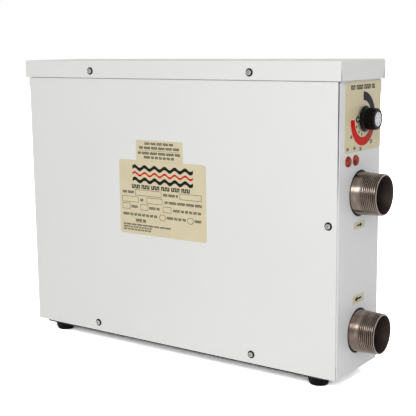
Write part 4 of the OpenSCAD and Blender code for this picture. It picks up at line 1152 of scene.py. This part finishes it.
def seen_from(azimuth, elevation):
    """The way out to a lamp or a camera, in degrees: 0 is in front and 90 at the right end."""
    a, e = math.radians(azimuth), math.radians(elevation)
    return Vector((math.sin(a) * math.cos(e), -math.cos(a) * math.cos(e), math.sin(e)))


def ray_kinds(tree):
    """Two sockets: 1 for a camera ray, and 1 for a ray that a gloss or glass sends on."""
    ray = add(tree, "LightPath").outputs
    mirrored = arith(tree, "MAXIMUM", ray["Is Glossy Ray"], ray["Is Transmission Ray"])
    return ray["Is Camera Ray"], mirrored


def floor():
    """A plain pale floor that shows white to the camera and keeps the object's shadow."""
    mesh = bmesh.new()
    corners = ((-1, -1), (1, -1), (1, 1), (-1, 1))
    mesh.faces.new([mesh.verts.new((FLOOR_HALF * u, FLOOR_HALF * v, 0)) for u, v in corners])
    data = bpy.data.meshes.new("floor")
    mesh.to_mesh(data)
    mesh.free()
    made = in_scene("floor", data)
    material = bpy.data.materials.new("floor_looks")
    material.use_nodes = True
    tree = material.node_tree
    tree.nodes.clear()
    seen, mirrored = ray_kinds(tree)
    extra = arith(
        tree, "ADD", arith(tree, "MULTIPLY", seen, FLOOR_SEEN - FLOOR_BOUNCE),
        arith(tree, "MULTIPLY", mirrored, FLOOR_IN_GLOSS - FLOOR_BOUNCE),
    )
    paint = add(tree, "BsdfDiffuse", {"Color": arith(tree, "ADD", extra, FLOOR_BOUNCE)})
    light = arith(
        tree, "ADD", arith(tree, "MULTIPLY", seen, SEEN_GLOW),
        arith(tree, "MULTIPLY", mirrored, GLOSS_GLOW),
    )
    glow = add(tree, "Emission", {"Strength": light})
    both = add(tree, "AddShader", {0: paint.outputs[0], 1: glow.outputs[0]})
    out = add(tree, "OutputMaterial")
    tree.links.new(both.outputs[0], out.inputs["Surface"])
    data.materials.append(material)


def world():
    """Studio light, stronger in front; the camera and a gloss see plain white past the floor."""
    made = bpy.data.worlds.new("studio")
    made.use_nodes = True
    tree = made.node_tree
    back = tree.nodes["Background"]
    back.inputs["Color"].default_value = (1, 1, 1, 1)
    seen = arith(tree, "MAXIMUM", *ray_kinds(tree))
    way = add(tree, "TexCoord").outputs["Generated"]
    facing = add(
        tree, "VectorMath",
        {0: way}, {1: tuple(seen_from(FRONT_AZIMUTH, 0))}, operation="DOT_PRODUCT",
    ).outputs["Value"]
    front = arith(tree, "MULTIPLY", arith(tree, "MAXIMUM", facing, 0.0), FRONT_LIGHT)
    strength = add(
        tree, "MapRange",
        {"Value": seen, "To Min": arith(tree, "ADD", front, AMBIENT)}, {"To Max": 1.0},
    )
    tree.links.new(strength.outputs["Result"], back.inputs["Strength"])
    bpy.context.scene.world = made


def key_lamp():
    """A weak square lamp that faces the outlet pipe and gives it its highlight."""
    lamp = bpy.data.lights.new("key", "AREA")
    lamp.shape = "RECTANGLE"
    lamp.size, lamp.size_y = KEY_SIZE, KEY_SIZE
    lamp.energy = KEY_POWER
    made = in_scene("key", lamp)
    out = seen_from(*KEY_ANGLES)
    made.location = sum(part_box("outlet_nipple"), Vector()) / 2 + out * KEY_DISTANCE
    made.rotation_euler = (-out).to_track_quat("-Z", "Y").to_euler()


floor()
world()
key_lamp()

# -------- camera

# solved from the casing's edges: azimuth, elevation and roll in degrees, the lens in
# millimetres, and the place in millimetres from the middle of the jacket's lower edge
CAMERA_ANGLES = (35.735, 9.723, -0.668)
CAMERA_LENS = 82.73
CAMERA_AT = (704.31, -948.73, 368.31)


def camera():
    """A long lens, a little above the lid's height and to the right of the front."""
    azimuth, elevation, roll = CAMERA_ANGLES
    back = seen_from(azimuth, elevation)
    right = seen_from(azimuth + 90, 0)
    up = back.cross(right)
    roll = math.radians(roll)
    right, up = (
        math.cos(roll) * right + math.sin(roll) * up,
        -math.sin(roll) * right + math.cos(roll) * up,
    )
    lens = bpy.data.cameras.new("camera")
    lens.lens = CAMERA_LENS
    lens.sensor_width = 36
    lens.clip_end = 50
    made = in_scene("camera", lens)
    made.rotation_mode = "QUATERNION"
    made.matrix_world = Matrix((right, up, back)).transposed().to_4x4()
    made.location = Vector(CAMERA_AT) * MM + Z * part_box("jacket")[0].z
    bpy.context.scene.camera = made


camera()
bpy.context.scene.view_settings.view_transform = "Standard"
